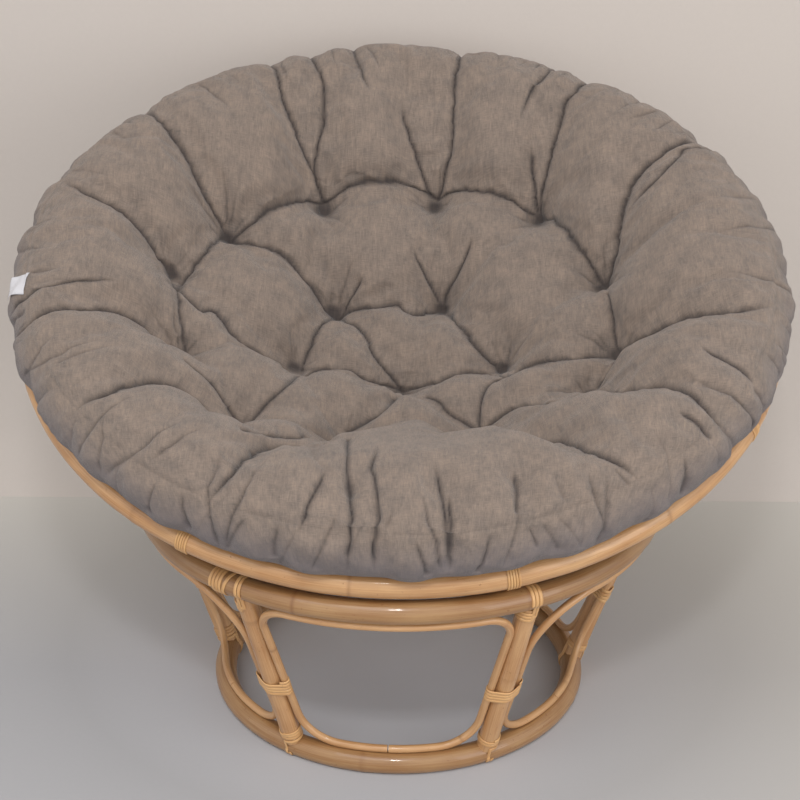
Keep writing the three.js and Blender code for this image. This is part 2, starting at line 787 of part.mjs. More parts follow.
function addBowl() {
  const bowl = new THREE.Group();
  bowl.position.z = bowlCentreHeight;
  bowl.rotation.x = bowlTilt;
  chair.add(bowl);
  const frame = new THREE.Group();
  frame.rotation.z = bowlSwivel * deg;
  bowl.add(frame);
  add(frame, 'bowl_rim', poleRing(rimRadius, rimPoleRadius, rimDrop, poleSides, rimSteps), cane);
  const lowerRing = poleRing(lowerRingRadius, lowerRingPoleRadius, lowerRingDrop, ribSides, lowerRingSteps);
  add(frame, 'bowl_lower_ring', lowerRing, cane);
  for (let number = 1; number <= ribCount; number++) {
    const angle = ((number - 1) * 360) / ribCount;
    add(frame, `bowl_rib_${number}`, bowlRib(angle), cane);
    add(frame, `rim_binding_${number}`, rimSleeve(angle), peelFinish);
    add(frame, `rib_foot_binding_${number}`, ribFootLashing(angle), peelFinish);
  }
  add(bowl, 'cushion', cushion(), cloth);
  add(bowl, 'care_tag', careTag(), tagCloth);
}

addBase();
addBowl();

// The chair's box is centred over the origin
chair.updateMatrixWorld(true);
const middle = new THREE.Box3().setFromObject(chair, true).getCenter(new THREE.Vector3());
chair.position.set(-middle.x, -middle.y, 0);

console.log(`least gap of a peel strip to itself: ${leastPeelGap.toFixed(2)} mm`);

export default chair;
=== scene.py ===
import math
from collections import namedtuple

import bmesh
import bpy
import numpy as np
from mathutils import Matrix, Vector
from mathutils.bvhtree import BVHTree


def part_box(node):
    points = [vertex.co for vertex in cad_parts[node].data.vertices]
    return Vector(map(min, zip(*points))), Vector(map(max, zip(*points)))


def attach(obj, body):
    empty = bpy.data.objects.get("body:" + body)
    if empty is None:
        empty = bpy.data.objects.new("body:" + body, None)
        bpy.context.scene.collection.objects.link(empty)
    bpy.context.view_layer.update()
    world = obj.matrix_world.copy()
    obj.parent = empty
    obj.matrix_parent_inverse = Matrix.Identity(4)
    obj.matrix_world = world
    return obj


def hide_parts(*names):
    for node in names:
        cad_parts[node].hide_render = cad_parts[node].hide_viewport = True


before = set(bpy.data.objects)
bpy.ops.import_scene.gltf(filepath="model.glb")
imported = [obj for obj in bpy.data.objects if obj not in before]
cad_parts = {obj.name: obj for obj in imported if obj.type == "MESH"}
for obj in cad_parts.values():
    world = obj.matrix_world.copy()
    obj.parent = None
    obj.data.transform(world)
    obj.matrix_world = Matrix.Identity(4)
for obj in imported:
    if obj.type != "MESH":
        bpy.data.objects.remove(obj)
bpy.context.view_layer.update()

bl_info = {
    "name": "Papasan chair",
    "version": (1, 0, 0),
    "blender": (4, 5, 0),
    "location": "3D View > Sidebar > Papasan",
    "description": "Dresses a papasan chair: rattan base and bowl, peel windings, tufted cushion",
    "category": "Add Mesh",
}

# The base's axis and the middle of the bowl's sphere, in the row frame
BASE_AXIS = np.array([-0.0002842, -0.1147909, 0.0])
BOWL_CENTRE = BASE_AXIS + (0, 0, 0.8533744)
BOWL_TILT = math.radians(23.11809)
BOWL_SWIVEL = math.radians(15.0)

# Angles round the base, from the front towards +X
POST_ANGLES = (-33.5, 27.5, 91.0, 144.5, 205.0, 261.5)
WINDOW_HEAD_CORNERS = (0.034, 0.074, 0.052, 0.052, 0.052, 0.074)
RIB_COUNT = 8

# The step along a cane, how flat the floor ring is below, how far a post goes into a ring, and the
# room between a loop and its neighbours
CANE_STEP, RING_FLAT, POST_COPE, TOUCH = 0.004, 0.002, 0.004, 0.0003

# How far up a post its waist winding is, half the width of the winding under its foot, a rib's
# straight neck, and the steps of a rib that lie inside the rim and the lower ring
WAIST_SHARE, UNDER_POST, RIB_NECK = 0.42, 0.0068, 0.045
INSIDE_RIM, INSIDE_LOWER_RING = 4, 2

# Where the seat ring rubs the rim: how thick the rim stays, half the angle, and how fast it ends
RUBBED, RUB_ANGLE, RUB_EASE = 0.972, 8.0, 0.01

# The peel's section, in shares of its width and thickness
PEEL_CROWN = np.array(
    [(-0.5, 0), (0.5, 0), (0.485, 0.55), (0.31, 0.95), (0, 1.06), (-0.31, 0.95), (-0.485, 0.55)]
)

# The step along the peel, the stations of half a turn round a ring, the turn between two stations
# round a neck, and how far beside a neck its windings on the ring start
PEEL_STEP = 0.0018
RING_STEPS = 14
NECK_STEP = math.radians(11)
BESIDE_NECK = 0.0058

# The photograph's camera, read against the chair
CAMERA_PLACE = (-0.0003, -2.1791, 1.3214)
CAMERA_PITCH = 25.2
CAMERA_ROLL = 0.4
FOCAL_PIXELS = 1598.7
CENTRE_PIXEL = (400.0, 459.2)
FRAME_PIXELS = 800.0
SENSOR_WIDTH = 36.0

# Tufts: angle from the front towards +X, distance from the bowl's axis, and the pixel it shows at
TUFTS = np.array((
    (-154, 0.279, 325, 204), (169, 0.270, 437, 199), (136, 0.302, 539, 219),
    (102, 0.305, 605, 287), (75, 0.315, 617, 354), (59, 0.307, 592, 392),
    (24, 0.254, 480, 430), (-18, 0.249, 348, 432), (-43, 0.318, 243, 428),
    (-72, 0.324, 186, 359), (-100, 0.340, 178, 285), (-122, 0.311, 231, 239),
    (-131, 0.134, 337, 314), (149, 0.118, 443, 309), (75, 0.156, 505, 374),
    (0, 0.073, 403, 389), (-75, 0.161, 298, 374),
))
OUTER_TUFTS = 12
INNER_TUFT_DEPTH = 0.9
TUFT_CORE = 0.016
TUFT_HOLD = 0.010

# The cushion's form: how full the dish is, its bed on the ribs, and the unevenness of its side
DISH_FULLNESS = 0.25
BED_GAP, BED_INSET = 0.0040, 0.062
CUSHION_COLUMNS = 360
FEWEST_POINTS = 1000
SIDE_WAVES = ((0.0022, 31, 1.0), (0.0016, 53, 0.0), (0.0012, 19, 0.0))

# Folds of the cloth: depth and shoulder, then the pixels that they run through
LONG, BRANCH, FINE = (0.0150, 0.028), (0.0105, 0.019), (0.0060, 0.010)
FOLDS = (
    (LONG, (231, 239), (222, 224), (199, 183), (189, 160), (168, 129), (153, 113)),
    (LONG, (178, 285), (163, 262), (143, 231), (115, 206), (79, 189), (51, 180)),
    (LONG, (325, 204), (318, 183), (316, 155), (324, 116), (323, 83)),
    (LONG, (325, 204), (312, 168), (286, 106), (275, 63)),
    (BRANCH, (353, 46), (362, 73), (375, 101)),
    (LONG, (437, 199), (428, 188), (405, 119), (401, 96)),
    (LONG, (437, 199), (442, 185), (451, 142), (455, 73)),
    (LONG, (539, 219), (535, 198), (531, 142)),
    (LONG, (539, 219), (543, 183), (566, 101)),
    (BRANCH, (515, 129), (534, 86)),
    (LONG, (605, 287), (614, 257), (624, 206), (640, 173), (665, 150)),
    (BRANCH, (620, 225), (637, 198), (686, 147)),
    (LONG, (617, 354), (637, 340), (681, 318), (732, 310), (778, 308)),
    (LONG, (592, 392), (630, 389), (655, 385), (681, 389), (706, 407), (719, 427), (732, 448)),
    (BRANCH, (673, 410), (696, 421), (714, 445)),
    (BRANCH, (696, 345), (729, 361), (747, 374), (755, 392)),
    (LONG, (480, 430), (538, 439), (563, 440), (589, 450), (619, 463), (645, 489)),
    (FINE, (612, 463), (633, 489)),
    (FINE, (586, 463), (595, 496)),
    (BRANCH, (43, 285), (77, 280), (110, 280), (128, 287)),
    (LONG, (77, 307), (115, 310), (143, 323), (158, 338), (186, 359)),
    (LONG, (69, 425), (87, 402), (128, 385), (166, 382), (199, 400), (222, 420), (243, 428)),
    (LONG, (199, 517), (222, 484), (245, 458), (268, 447), (293, 447), (316, 453)),
    (BRANCH, (296, 540), (311, 499), (329, 466)),
    (BRANCH, (348, 432), (348, 466), (352, 517)),
    (BRANCH, (380, 445), (371, 466), (375, 479), (378, 517)),
    (BRANCH, (433, 458), (442, 496)),
    (BRANCH, (448, 489), (451, 530), (450, 568)),
    (BRANCH, (512, 468), (517, 491), (517, 524)),
    (FINE, (528, 524), (539, 550)),
    (LONG, (231, 239), (237, 234), (270, 210), (301, 201), (325, 204)),
    (LONG, (231, 239), (219, 238), (206, 252), (178, 285)),
    (LONG, (178, 285), (201, 308), (213, 309), (224, 320), (232, 332), (257, 349), (298, 374)),
    (LONG, (325, 204), (347, 187), (371, 182), (409, 184), (437, 199)),
    (FINE, (339, 183), (349, 174), (371, 175)),
    (LONG, (437, 199), (457, 190), (489, 192), (515, 202), (539, 219)),
    (LONG, (539, 219), (552, 219), (572, 237), (605, 287)),
    (LONG, (337, 314), (326, 306), (298, 269), (270, 248), (231, 239)),
    (LONG, (337, 314), (352, 309), (371, 306), (397, 305), (415, 313), (443, 309)),
    (BRANCH, (337, 314), (344, 306), (365, 274)),
    (BRANCH, (443, 309), (436, 294), (423, 269), (411, 244)),
    (BRANCH, (443, 309), (446, 294), (461, 265), (475, 232)),
    (LONG, (443, 309), (456, 320), (477, 347), (505, 374)),
    (LONG, (337, 314), (362, 330), (377, 357), (403, 389)),
    (LONG, (337, 314), (321, 325), (298, 374)),
    (LONG, (298, 374), (326, 367), (352, 368), (365, 377), (403, 389)),
    (LONG, (403, 389), (439, 380), (456, 372), (482, 371), (505, 374)),
    (BRANCH, (403, 389), (427, 396), (437, 400), (451, 414), (480, 430)),
    (BRANCH, (505, 374), (490, 382), (482, 395), (478, 417), (480, 430)),
    (LONG, (480, 430), (514, 406), (546, 401), (592, 392)),
    (BRANCH, (298, 374), (270, 400), (243, 428)),
    (BRANCH, (505, 374), (550, 360), (617, 354)),
    (BRANCH, (186, 359), (215, 385), (243, 428)),
    (BRANCH, (243, 428), (290, 436), (348, 432)),
    (BRANCH, (348, 432), (380, 412), (403, 389)),
    (BRANCH, (617, 354), (606, 372), (592, 392)),
    (BRANCH, (178, 285), (182, 320), (186, 359)),
    (BRANCH, (605, 287), (612, 320), (617, 354)),
)

# Steps along a fold in the photograph, and how near to a tuft its end belongs to the tuft
PIXEL_STEP = 6.0
PIXEL_REACH = 12.0

# Folds on the cloth: a line, how deep it is, the reach of its soft and its sharp part, and the
# shares of its length over which it starts and ends
Fold = namedtuple("Fold", "line depth shoulder edge fade_in fade_out")
FOLD_EDGE, GATHER_EDGE, PUCKER_EDGE = 0.0031, 0.0028, 0.0030
SEAM_FOLD = (0.0026, 0.0050, 0.0016, 0.0, 0.0)
SHOULDER_REACH = 2.6
SOFT_SHARE, SHARP_SHARE = 0.48, 0.52
# The fold depth at which a crease's painted shade is darkest.
FULLY_SHADED_FOLD = 0.0105
LINE_STEP, SHORT_STEP = 0.006, 0.004
JUMP = 0.045
TUFT_GATHERS, WHOLE_TURN = 11, 6.3
SEAM_STATIONS = 301

# How far round a line the cloth is searched, and how near it is pinned or its mesh made finer
PIN_REACH, FINE_REACH = (0.006, 0.005), (0.010, 0.0065)

# Puckers across the seam: their share, where they start and end, points, and the fades
PUCKERS = (
    (0.50, (0, 1, 7), (0.35, 0.10)),
    (0.24, (-1, 0, 9), (0.65, 0.25)),
    (0.26, (-1, 1, 14), (0.5, 0.15)),
)

# The stuffing, as a cloth simulation: its settings, and for how many frames it runs
CLOTH = {
    "quality": 4, "mass": 0.2, "tension_stiffness": 18, "compression_stiffness": 12,
    "shear_stiffness": 6, "bending_stiffness": 0.25, "use_pressure": True,
    "uniform_pressure_force": 4.0, "shrink_min": -0.05, "vertex_group_mass": "held",
}
CLOTH_FRAMES = 20

# The care tag: width and height, where on the edge it hangs, how it leans, and how thick it is
TAG_SIZE = (0.034, 0.038)
TAG_ANGLE = -82.0
TAG_LEAN = math.radians(25)
TAG_STEPS = 16
TAG_THICKNESS = 0.0004

# Cane materials: the colours' name, how speckled, how much varnish, and how deep the fibres are
CANES = {
    "rattan_pole": ("cane", 0.5, 0.55, 0.00025),
    # The base rings' material uses the ring colours, darker than the cane's: painted shade on the
    # base rings.
    "rattan_ring": ("ring", 0.5, 0.55, 0.00025),
    "rattan_switch": ("cane", 0.3, 0.55, 0.00025),
    "rattan_peel": ("peel", 0.25, 0.4, 0.0002),
}
VARNISH_ROUGHNESS = 0.085
# Painted shade: a cool dark tint for the strip below the seam, and a dark tint for the folds and
# tufts.
BAND_SHADE_TINT, FOLD_SHADE_TINT = "67646b", "2a2628"

# Lamps: name, place, what it shines on, and size
LAMPS = (
    ("key", (-0.6, -1.9, 3.2), (0.0, 0.0, 0.5), 2.2),
    ("fill", (2.1, -2.0, 0.9), (0.0, 0.0, 0.05), 1.6),
    ("glint", (-0.05, -2.3, 2.5), (0.0, -0.3, 0.4), 0.26),
)
STAGE_REACH = 6.0
WALL_RISE = ((0, -0.0005), (0.03, 0.02), (0.07, 0.12), (0.095, 0.30), (0.105, 0.60), (0.105, 5.0))
SKY_TINT = (1.0, 0.985, 0.965, 1)


def tint(code):
    """The linear colour of a hex code."""
    parts = [int(code[i:i + 2], 16) / 255 for i in (0, 2, 4)]
    line = [p / 12.92 if p <= 0.04045 else ((p + 0.055) / 1.055) ** 2.4 for p in parts]
    return (*line, 1.0)


def number(name, description, default, **more):
    return bpy.props.FloatProperty(
        name=name, description=description, default=default, min=0.0, **more
    )


def length(name, description, default):
    return number(name, description, default, unit="LENGTH", precision=4)


def turns(name, description, default):
    return bpy.props.IntProperty(name=name, description=description, default=default, min=1, max=9)


def colour(name, description, default):
    return bpy.props.FloatVectorProperty(
        name=name, description=description, default=tint(default), size=4, min=0.0, max=1.0,
        subtype="COLOR",
    )


class CaneSizes(bpy.types.PropertyGroup):
    """Sizes of the rattan poles."""

    floor_ring: length("Floor ring", "Radius of the floor ring's centre line", 0.260)
    seat_ring: length("Seat ring", "Radius of the seat ring's centre line", 0.359)
    seat_height: length("Seat ring height", "Height of the seat ring's centre line", 0.310)
    ring_pole: length("Ring pole", "Radius of the base rings' pole", 0.016)
    post_pole: length("Post pole", "Radius of the posts", 0.014)
    loop_pole: length("Loop pole", "Radius of the window loops' pole", 0.0055)
    loop_foot_corner: length("Loop foot corner", "Radius of a window loop's lower corners", 0.062)
    loop_joint: length("Loop joint", "Gap between the butted ends of a loop", 0.0015)
    rim: length("Rim", "Radius of the bowl rim's centre line", 0.530)
    rim_pole: length("Rim pole", "Radius of the rim's pole", 0.017)
    bowl_depth: length("Bowl depth", "Depth of the bowl below its rim", 0.298)
    lower_ring: length("Lower ring", "Radius of the bowl's lower ring", 0.170)
    lower_pole: length("Lower ring pole", "Radius of the lower ring's pole", 0.0095)
    rib_pole: length("Rib pole", "Radius of the ribs", 0.012)
    knot_spacing: length("Knot spacing", "Usual distance between the knots of a cane", 0.33)
    knot_swell: number(
        "Knot swell", "How much thicker a cane is at its knots", 0.035, subtype="FACTOR"
    )


class PeelSizes(bpy.types.PropertyGroup):
    """Sizes of the peel windings."""

    width: length("Width", "Width of the peel", 0.0048)
    thickness: length("Thickness", "Thickness of the peel", 0.0012)
    pitch: length("Pitch", "Distance between two turns", 0.0054)
    fine_pitch: length("Fine pitch", "The same where fine peel holds the ribs to the rim", 0.0034)
    clearance: length("Clearance", "Room between the peel and the pole", 0.0003)
    post_slings: turns("Slings on a post", "Passes over the seat ring", 3)
    waist_turns: turns("Waist turns", "Turns round a post and its loops", 4)


class CushionSizes(bpy.types.PropertyGroup):
    """Sizes of the cushion, heights above the plane of the rim."""

    dish: length("Dish", "Depth of the dish below the rim's plane", 0.098)
    crown_radius: length("Crown radius", "Radius of the top of the edge", 0.470)
    crown_height: length("Crown height", "Height of the top of the edge", 0.104)
    seam_radius: length("Seam radius", "Radius of the perimeter seam", 0.528)
    seam_height: length("Seam height", "Height of the perimeter seam", 0.086)
    side_radius: length("Side radius", "Radius where the cushion is widest", 0.553)
    side_height: length("Side height", "Height where the cushion is widest", 0.050)
    tuft_depth: length("Tuft depth", "How far a tuft draws the cloth in", 0.044)
    tuft_width: length("Tuft width", "How wide a tuft's dimple is", 0.042)
    swell: length("Swell", "The most that the stuffing lifts the cloth", 0.024)
    edge_swell: length("Edge swell", "The same at the edge", 0.007)
    slump: length("Slump", "How far the back of the edge sinks into the bowl", 0.026)
    grain_size: length("Grain size", "Size of the cloth's mesh", 0.0092)


class Finishes(bpy.types.PropertyGroup):
    """Colours of the chair."""

    cane_pale: colour("Cane, pale", "Pale fibres of the cane", "cfa475")
    cane_dark: colour("Cane, dark", "Dark fibres of the cane", "ad7b4b")
    # Painted shade: the base rings' colours are the cane's made darker, for the shade that falls on
    # the seat ring and the floor ring.
    ring_pale: colour("Base rings, pale", "Pale fibres of the base rings", "a98459")
    ring_dark: colour("Base rings, dark", "Dark fibres of the base rings", "8a5f36")
    knot: colour("Knot", "Knots and scars of the cane", "74451f")
    peel_pale: colour("Peel, pale", "Pale fibres of the peel", "dfb47c")
    peel_dark: colour("Peel, dark", "Dark fibres of the peel", "b98550")
    cloth_pale: colour("Cloth, pale", "Pale threads of the cushion", "998779")
    cloth_dark: colour("Cloth, dark", "Dark threads of the cushion", "585351")
    tag_cloth: colour("Tag cloth", "The care tag", "d0cfd4")


class StageSettings(bpy.types.PropertyGroup):
    """Floor, wall and lamps."""

    floor: colour("Floor", "The floor", "a8a8ab")
    # Painted light: paler floor colours under the chair, where they lift the bowl's shade, at the
    # lit right side and beside the wall.
    floor_painted_light_under: colour("Floor under the chair", "The floor, where the bowl shades it", "dcdde4")
    floor_painted_light_side: colour("Floor at the right", "The floor on the lit side", "b6b2ac")
    floor_painted_light_back: colour("Floor at the back", "The floor beside the wall", "c6c3bd")
    wall: colour("Wall", "The wall", "c0b8b2")
    wall_line: length("Wall line", "Distance from the origin to the foot of the wall", 0.455)
    key_power: number("Key power", "Power of the large lamp", 31.0, unit="POWER")
    fill_power: number("Fill power", "Power of the side lamp", 16.0, unit="POWER")
    glint_power: number(
        "Glint power", "Power of the small lamp that the varnish mirrors", 16.0, unit="POWER"
    )
    sky: number("Sky", "Strength of the light from all round", 1.03)


# Places and shapes

def around(angle, radius, height):
    """Places round an upright axis, at angles from the front towards +X."""
    turn = np.radians(angle)
    return np.stack(np.broadcast_arrays(radius * np.sin(turn), -radius * np.cos(turn), height), -1)


def unit(vectors):
    return vectors / np.maximum(np.linalg.norm(vectors, axis=-1, keepdims=True), 1e-12)


def turned(a, b, angle):
    """A pair of coordinates, turned."""
    c, s = math.cos(angle), math.sin(angle)
    return a * c - b * s, a * s + b * c


def on_base(points):
    return points + BASE_AXIS


def from_bowl(points, swivel=0.0):
    """Points about the bowl's sphere, as places in the row frame."""
    x, y, z = np.moveaxis(np.asarray(points, float), -1, 0)
    x, y = turned(x, y, swivel)
    y, z = turned(y, z, BOWL_TILT)
    return np.stack([x, y, z], -1) + BOWL_CENTRE


def to_bowl(points):
    x, y, z = np.moveaxis(points - BOWL_CENTRE, -1, 0)
    return np.stack([x, *turned(y, z, -BOWL_TILT)], -1)


def bowl_way(vector):
    """A direction given about the bowl, in the row frame."""
    return np.array(from_bowl(vector) - from_bowl((0.0, 0.0, 0.0)))


def sphere_radius(cane):
    return (cane.rim ** 2 + cane.bowl_depth ** 2) / (2 * cane.bowl_depth)


def ring_drop(cane, ring):
    """How far a ring of the bowl lies below the middle of the sphere."""
    return math.sqrt(sphere_radius(cane) ** 2 - ring ** 2)


def travelled(path):
    steps = np.linalg.norm(np.diff(path, axis=0), axis=1)
    return np.concatenate([[0.0], np.cumsum(steps)])


def drawn(values, at, places):
    """Rows of values known at some distances, read off at other distances."""
    return np.stack([np.interp(places, at, column) for column in values.T], 1)


def resampled(path, spacing):
    """The path with even steps."""
    at = travelled(path)
    count = max(2, int(round(at[-1] / spacing)) + 1)
    return drawn(path, at, np.linspace(0, at[-1], count))


def headings(path):
    return unit(np.gradient(path, axis=0))


def carried(path):
    """Directions across the path that turn with it and never twist."""
    along = headings(path)
    start = np.cross(along[0], (0.0, 0.0, 1.0))
    if np.linalg.norm(start) < 0.1:
        start = np.cross(along[0], (1.0, 0.0, 0.0))
    across = [unit(start)]
    for here in along[1:]:
        last = across[-1]
        across.append(unit(last - here * np.dot(last, here)))
    return np.array(across)


def new_mesh(name, points, faces, marks=None, smooth_under=40):
    """An object of the given points and faces, with named values on its points."""
    mesh = bpy.data.meshes.new(name)
    mesh.from_pydata(np.asarray(points).tolist(), [], faces)
    mesh.update()
    for title, values in (marks or {}).items():
        marked(mesh, title, values)
    mesh.shade_smooth()
    mesh.set_sharp_from_angle(angle=math.radians(smooth_under))
    thing = bpy.data.objects.new(name, mesh)
    bpy.context.scene.collection.objects.link(thing)
    return thing


def marked(mesh, title, values):
    """Keeps a number or a vector for each point of the mesh."""
    values = np.asarray(values, float)
    kind, field = ("FLOAT", "value") if values.ndim == 1 else ("FLOAT_VECTOR", "vector")
    mesh.attributes.new(title, kind, "POINT").data.foreach_set(field, values.ravel())


def lofted(path, across, outward, section, scale, caps):
    """Points and faces of a section carried along a path. section holds (across, outward) pairs."""
    count, sides = len(path), len(section)
    points = (
        path[:, None]
        + scale[:, None, None] * section[None, :, :1] * across[:, None]
        + scale[:, None, None] * section[None, :, 1:] * outward[:, None]
    ).reshape(-1, 3)
    first = np.arange(count - 1)[:, None] * sides + np.arange(sides)[None]
    after = np.arange(count - 1)[:, None] * sides + (np.arange(sides)[None] + 1) % sides
    faces = np.stack([first, after, after + sides, first + sides], -1).reshape(-1, 4).tolist()
    if caps:
        faces.append(list(range(sides))[::-1])
        faces.append([(count - 1) * sides + i for i in range(sides)])
    return points, faces


def grain_marks(section, at):
    """Each point's place in the section and along the strip, for the fibres."""
    rows = [np.tile(section, (len(at), 1)), np.repeat(at, len(section))[:, None]]
    return np.concatenate(rows, 1)


def knotted(at, sizes, seed):
    """How thick a cane is along its length, and where its knots are."""
    scar, swollen, groove, groove_place = 0.0020, 0.007, 0.0016, 0.0005
    wave_height, slimmer = 0.0035, 0.012
    rng = np.random.default_rng(seed)
    total = at[-1]
    places, here = [], rng.uniform(0.2, 0.9) * sizes.knot_spacing
    while here < total - 0.02:
        places.append(here)
        here += sizes.knot_spacing * rng.uniform(0.7, 1.35)
    knots = np.zeros_like(at)
    thick = np.ones_like(at)
    for place in places:
        knots += np.exp(-(((at - place) / scar) ** 2)) * rng.uniform(0.25, 0.85)
        thick += sizes.knot_swell * np.exp(-(((at - place) / swollen) ** 2))
        thick -= 0.6 * sizes.knot_swell * np.exp(-(((at - place - groove_place) / groove) ** 2))
    waves = [(rng.uniform(0.05, 0.16), rng.uniform(0, 6.3)) for _ in range(4)]
    for wave, phase in waves:
        thick += wave_height * np.sin(2 * math.pi * at / wave + phase)
    return thick - slimmer, np.clip(knots, 0, 1)


def cane_mesh(name, path, across, along, radius, seed, cane, sides, caps=True, most=np.inf):
    """A rattan pole with knots and a little unevenness. most caps how thick it is."""
    at = travelled(path)
    thick, knots = knotted(at, cane, seed)
    swings = np.linspace(0, 2 * math.pi, sides, endpoint=False)
    section = np.stack([radius * np.cos(swings), radius * np.sin(swings)], 1)
    outward = np.cross(along, across)
    points, faces = lofted(path, across, outward, section, np.minimum(thick, most), caps)
    marks = {"grain": grain_marks(section, at + 1.7 * seed), "knot": np.repeat(knots, sides)}
    return new_mesh(name, points, faces, marks)


def pole(name, path, radius, seed, cane, sides):
    return cane_mesh(name, path, carried(path), headings(path), radius, seed, cane, sides)


def ring_pole(name, radius, pole_radius, height, seed, cane, place, sides=28, rubbed=False):
    """A ring of rattan. place carries its points into the row frame."""
    angles = 180 + np.linspace(0, 360, int(2 * math.pi * radius / CANE_STEP) + 1)
    path = place(around(angles, radius, height))
    across = unit(place(around(angles, radius + 1, height)) - path)
    along = unit(place(around(angles + 0.01, radius, height)) - path)
    from_front = np.abs((angles + 180) % 360 - 180)
    most = RUBBED + RUB_EASE * np.maximum(from_front - RUB_ANGLE, 0) if rubbed else np.inf
    return cane_mesh(name, path, across, along, pole_radius, seed, cane, sides, False, most)


# Peel windings

def peel_mesh(name, path, out, peel, seed, width, flat_below=False):
    """A strip of peel whose inner face follows the path, facing out."""
    at = travelled(path)
    places = np.linspace(0, at[-1], max(8, int(at[-1] / PEEL_STEP)))
    path, out = drawn(path, at, places), unit(drawn(out, at, places))
    along = headings(path)
    side = unit(np.cross(along, out))
    stops = np.arange(0, at[-1] + 0.06, 0.03)
    thick = 1 + 0.05 * np.interp(
        places, stops, np.random.default_rng(seed).uniform(-1, 1, len(stops))
    )
    section = PEEL_CROWN * (width, peel.thickness)
    points, faces = lofted(path, side, np.cross(side, along), section, thick, True)
    if flat_below:
        points[:, 2] = pressed_flat(points[:, 2])
    marks = {"grain": grain_marks(section, places + 0.9 * seed)}
    return new_mesh(name, points, faces, marks, smooth_under=60)


def lashing(centre, down, along, ring_centre, ring_reach, neck_reach, slings, pitch, ring_turns=0,
            neck_turns=0):
    """Stations of peel slung over a ring and round the neck of the pole that leaves it."""
    front = np.cross(down, along)
    spoke = centre - ring_centre
    bend = np.linalg.norm(spoke) * np.sign(np.dot(np.cross((0, 0, 1.0), spoke), along))
    beside = neck_reach + BESIDE_NECK
    path, out = [], []

    def swept(vector, x):
        return np.array([*turned(vector[0], vector[1], x / bend), vector[2]])

    def on_ring(x, step):
        swing = math.pi * step / RING_STEPS
        way = front * math.cos(swing) - down * math.sin(swing)
        reach = ring_reach + abs(math.cos(swing)) ** 6 * max(neck_reach - ring_reach, 0)
        path.append(ring_centre + swept(centre + reach * way - ring_centre, x))
        out.append(swept(way, x))

    def on_neck(swing, d):
        way = along * math.sin(swing) + front * math.cos(swing)
        path.append(centre + neck_reach * way + down * d)
        out.append(way)

    def lateral(sling):
        return ((slings - 1) / 2 - sling) * pitch if sling < slings else 0

    def neck_swing(x):
        return math.asin(np.clip(x / neck_reach, -0.95, 0.95))

    turn_steps = 2 * RING_STEPS
    for step in range(ring_turns * turn_steps, 0, -1):
        on_ring(beside + step / turn_steps * pitch, (step % turn_steps) + RING_STEPS)
    for sling in range(slings):
        level = ring_reach + (sling + 0.5) * pitch
        start = neck_swing(lateral(sling))
        for step in range(RING_STEPS, -1, -1):
            first = sling == 0 and ring_turns > 0
            drift = step / RING_STEPS * (beside - lateral(0)) if first else 0
            on_ring(lateral(sling) + drift, step)
        extra = neck_turns if sling == slings - 1 else 0
        swing = math.pi - neck_swing(lateral(sling + 1)) - start + 2 * math.pi * extra
        for d in np.linspace(0.25, 0.75, 3) * level:
            on_neck(start, d)
        steps = int(math.ceil(swing / NECK_STEP))
        for share in np.arange(steps + 1) / steps:
            on_neck(start + swing * share, level + pitch * extra * np.clip(1.1 * share, 0, 1))
        if extra:
            break
        for d in np.linspace(0.75, 0.25, 3) * level:
            on_neck(start + swing, d)
    return np.array(path), np.array(out)


def pressed_flat(heights):
    """Peel under the floor ring lies flat between the ring and the floor."""
    low, high, gap = -0.0038, 0.0034, 0.0002
    pressed = gap + (heights - low) * (high - gap) / (high - low)
    return np.where(heights < high, pressed, heights)


def post_line(cane, angle):
    return (
        on_base(around(angle, cane.floor_ring, cane.ring_pole - RING_FLAT)),
        on_base(around(angle, cane.seat_ring, cane.seat_height)),
    )


def rounded_corner(before, corner, after, radius, steps=14):
    to_before, to_after = unit(before - corner), unit(after - corner)
    half = math.acos(np.clip(np.dot(to_before, to_after), -1, 1)) / 2
    centre = corner + unit(to_before + to_after) * radius / math.sin(half)
    start = corner + to_before * radius / math.tan(half) - centre
    side = np.sign(to_before[0] * to_after[1] - to_before[1] * to_after[0])
    whole = -side * (math.pi - 2 * half)
    return [centre + turned(*start, whole * step / steps) for step in range(steps + 1)]


def window_path(cane, index):
    """The middle line of a window loop, which lies on the cone of the posts."""
    start, following = (*POST_ANGLES, POST_ANGLES[0] + 360)[index:index + 2]
    middle, half_turn = (start + following) / 2, math.radians(following - start) / 2
    seat = cane.ring_pole + TOUCH + cane.loop_pole
    bottom, top = cane.ring_pole - RING_FLAT + seat, cane.seat_height - seat
    spread = cane.seat_ring - cane.floor_ring
    slant = math.hypot(top - bottom, spread)
    stand_off = cane.post_pole + TOUCH + cane.loop_pole
    foot = cane.floor_ring * half_turn - stand_off
    head = cane.seat_ring * half_turn - stand_off
    corners = [np.array(c) for c in ((-foot, 0.0), (-head, slant), (head, slant), (foot, 0.0))]
    head_corner = WINDOW_HEAD_CORNERS[index]
    radii = (cane.loop_foot_corner, head_corner, head_corner, cane.loop_foot_corner)
    outline = [np.array([-cane.loop_joint / 2, 0.0])]
    for place, corner in enumerate(corners):
        before, after = corners[place - 1], corners[(place + 1) % 4]
        outline += rounded_corner(before, corner, after, radii[place])
    outline.append(np.array([cane.loop_joint / 2, 0.0]))
    outline = resampled(np.array(outline), CANE_STEP)
    share = outline[:, 1] / slant
    radius = cane.floor_ring + share * spread
    angles = middle + np.degrees(outline[:, 0] / radius)
    return on_base(around(angles, radius, bottom + share * (top - bottom)))


def hull_of(points):
    """The outline round flat points, anticlockwise."""
    points = points[np.lexsort((points[:, 1], points[:, 0]))]

    def half(items):
        line = []
        for p in items:
            while len(line) > 1:
                a, b = line[-1] - line[-2], p - line[-2]
                if a[0] * b[1] - a[1] * b[0] > 0:
                    break
                line.pop()
            line.append(p)
        return line[:-1]

    return np.array(half(points) + half(points[::-1]))


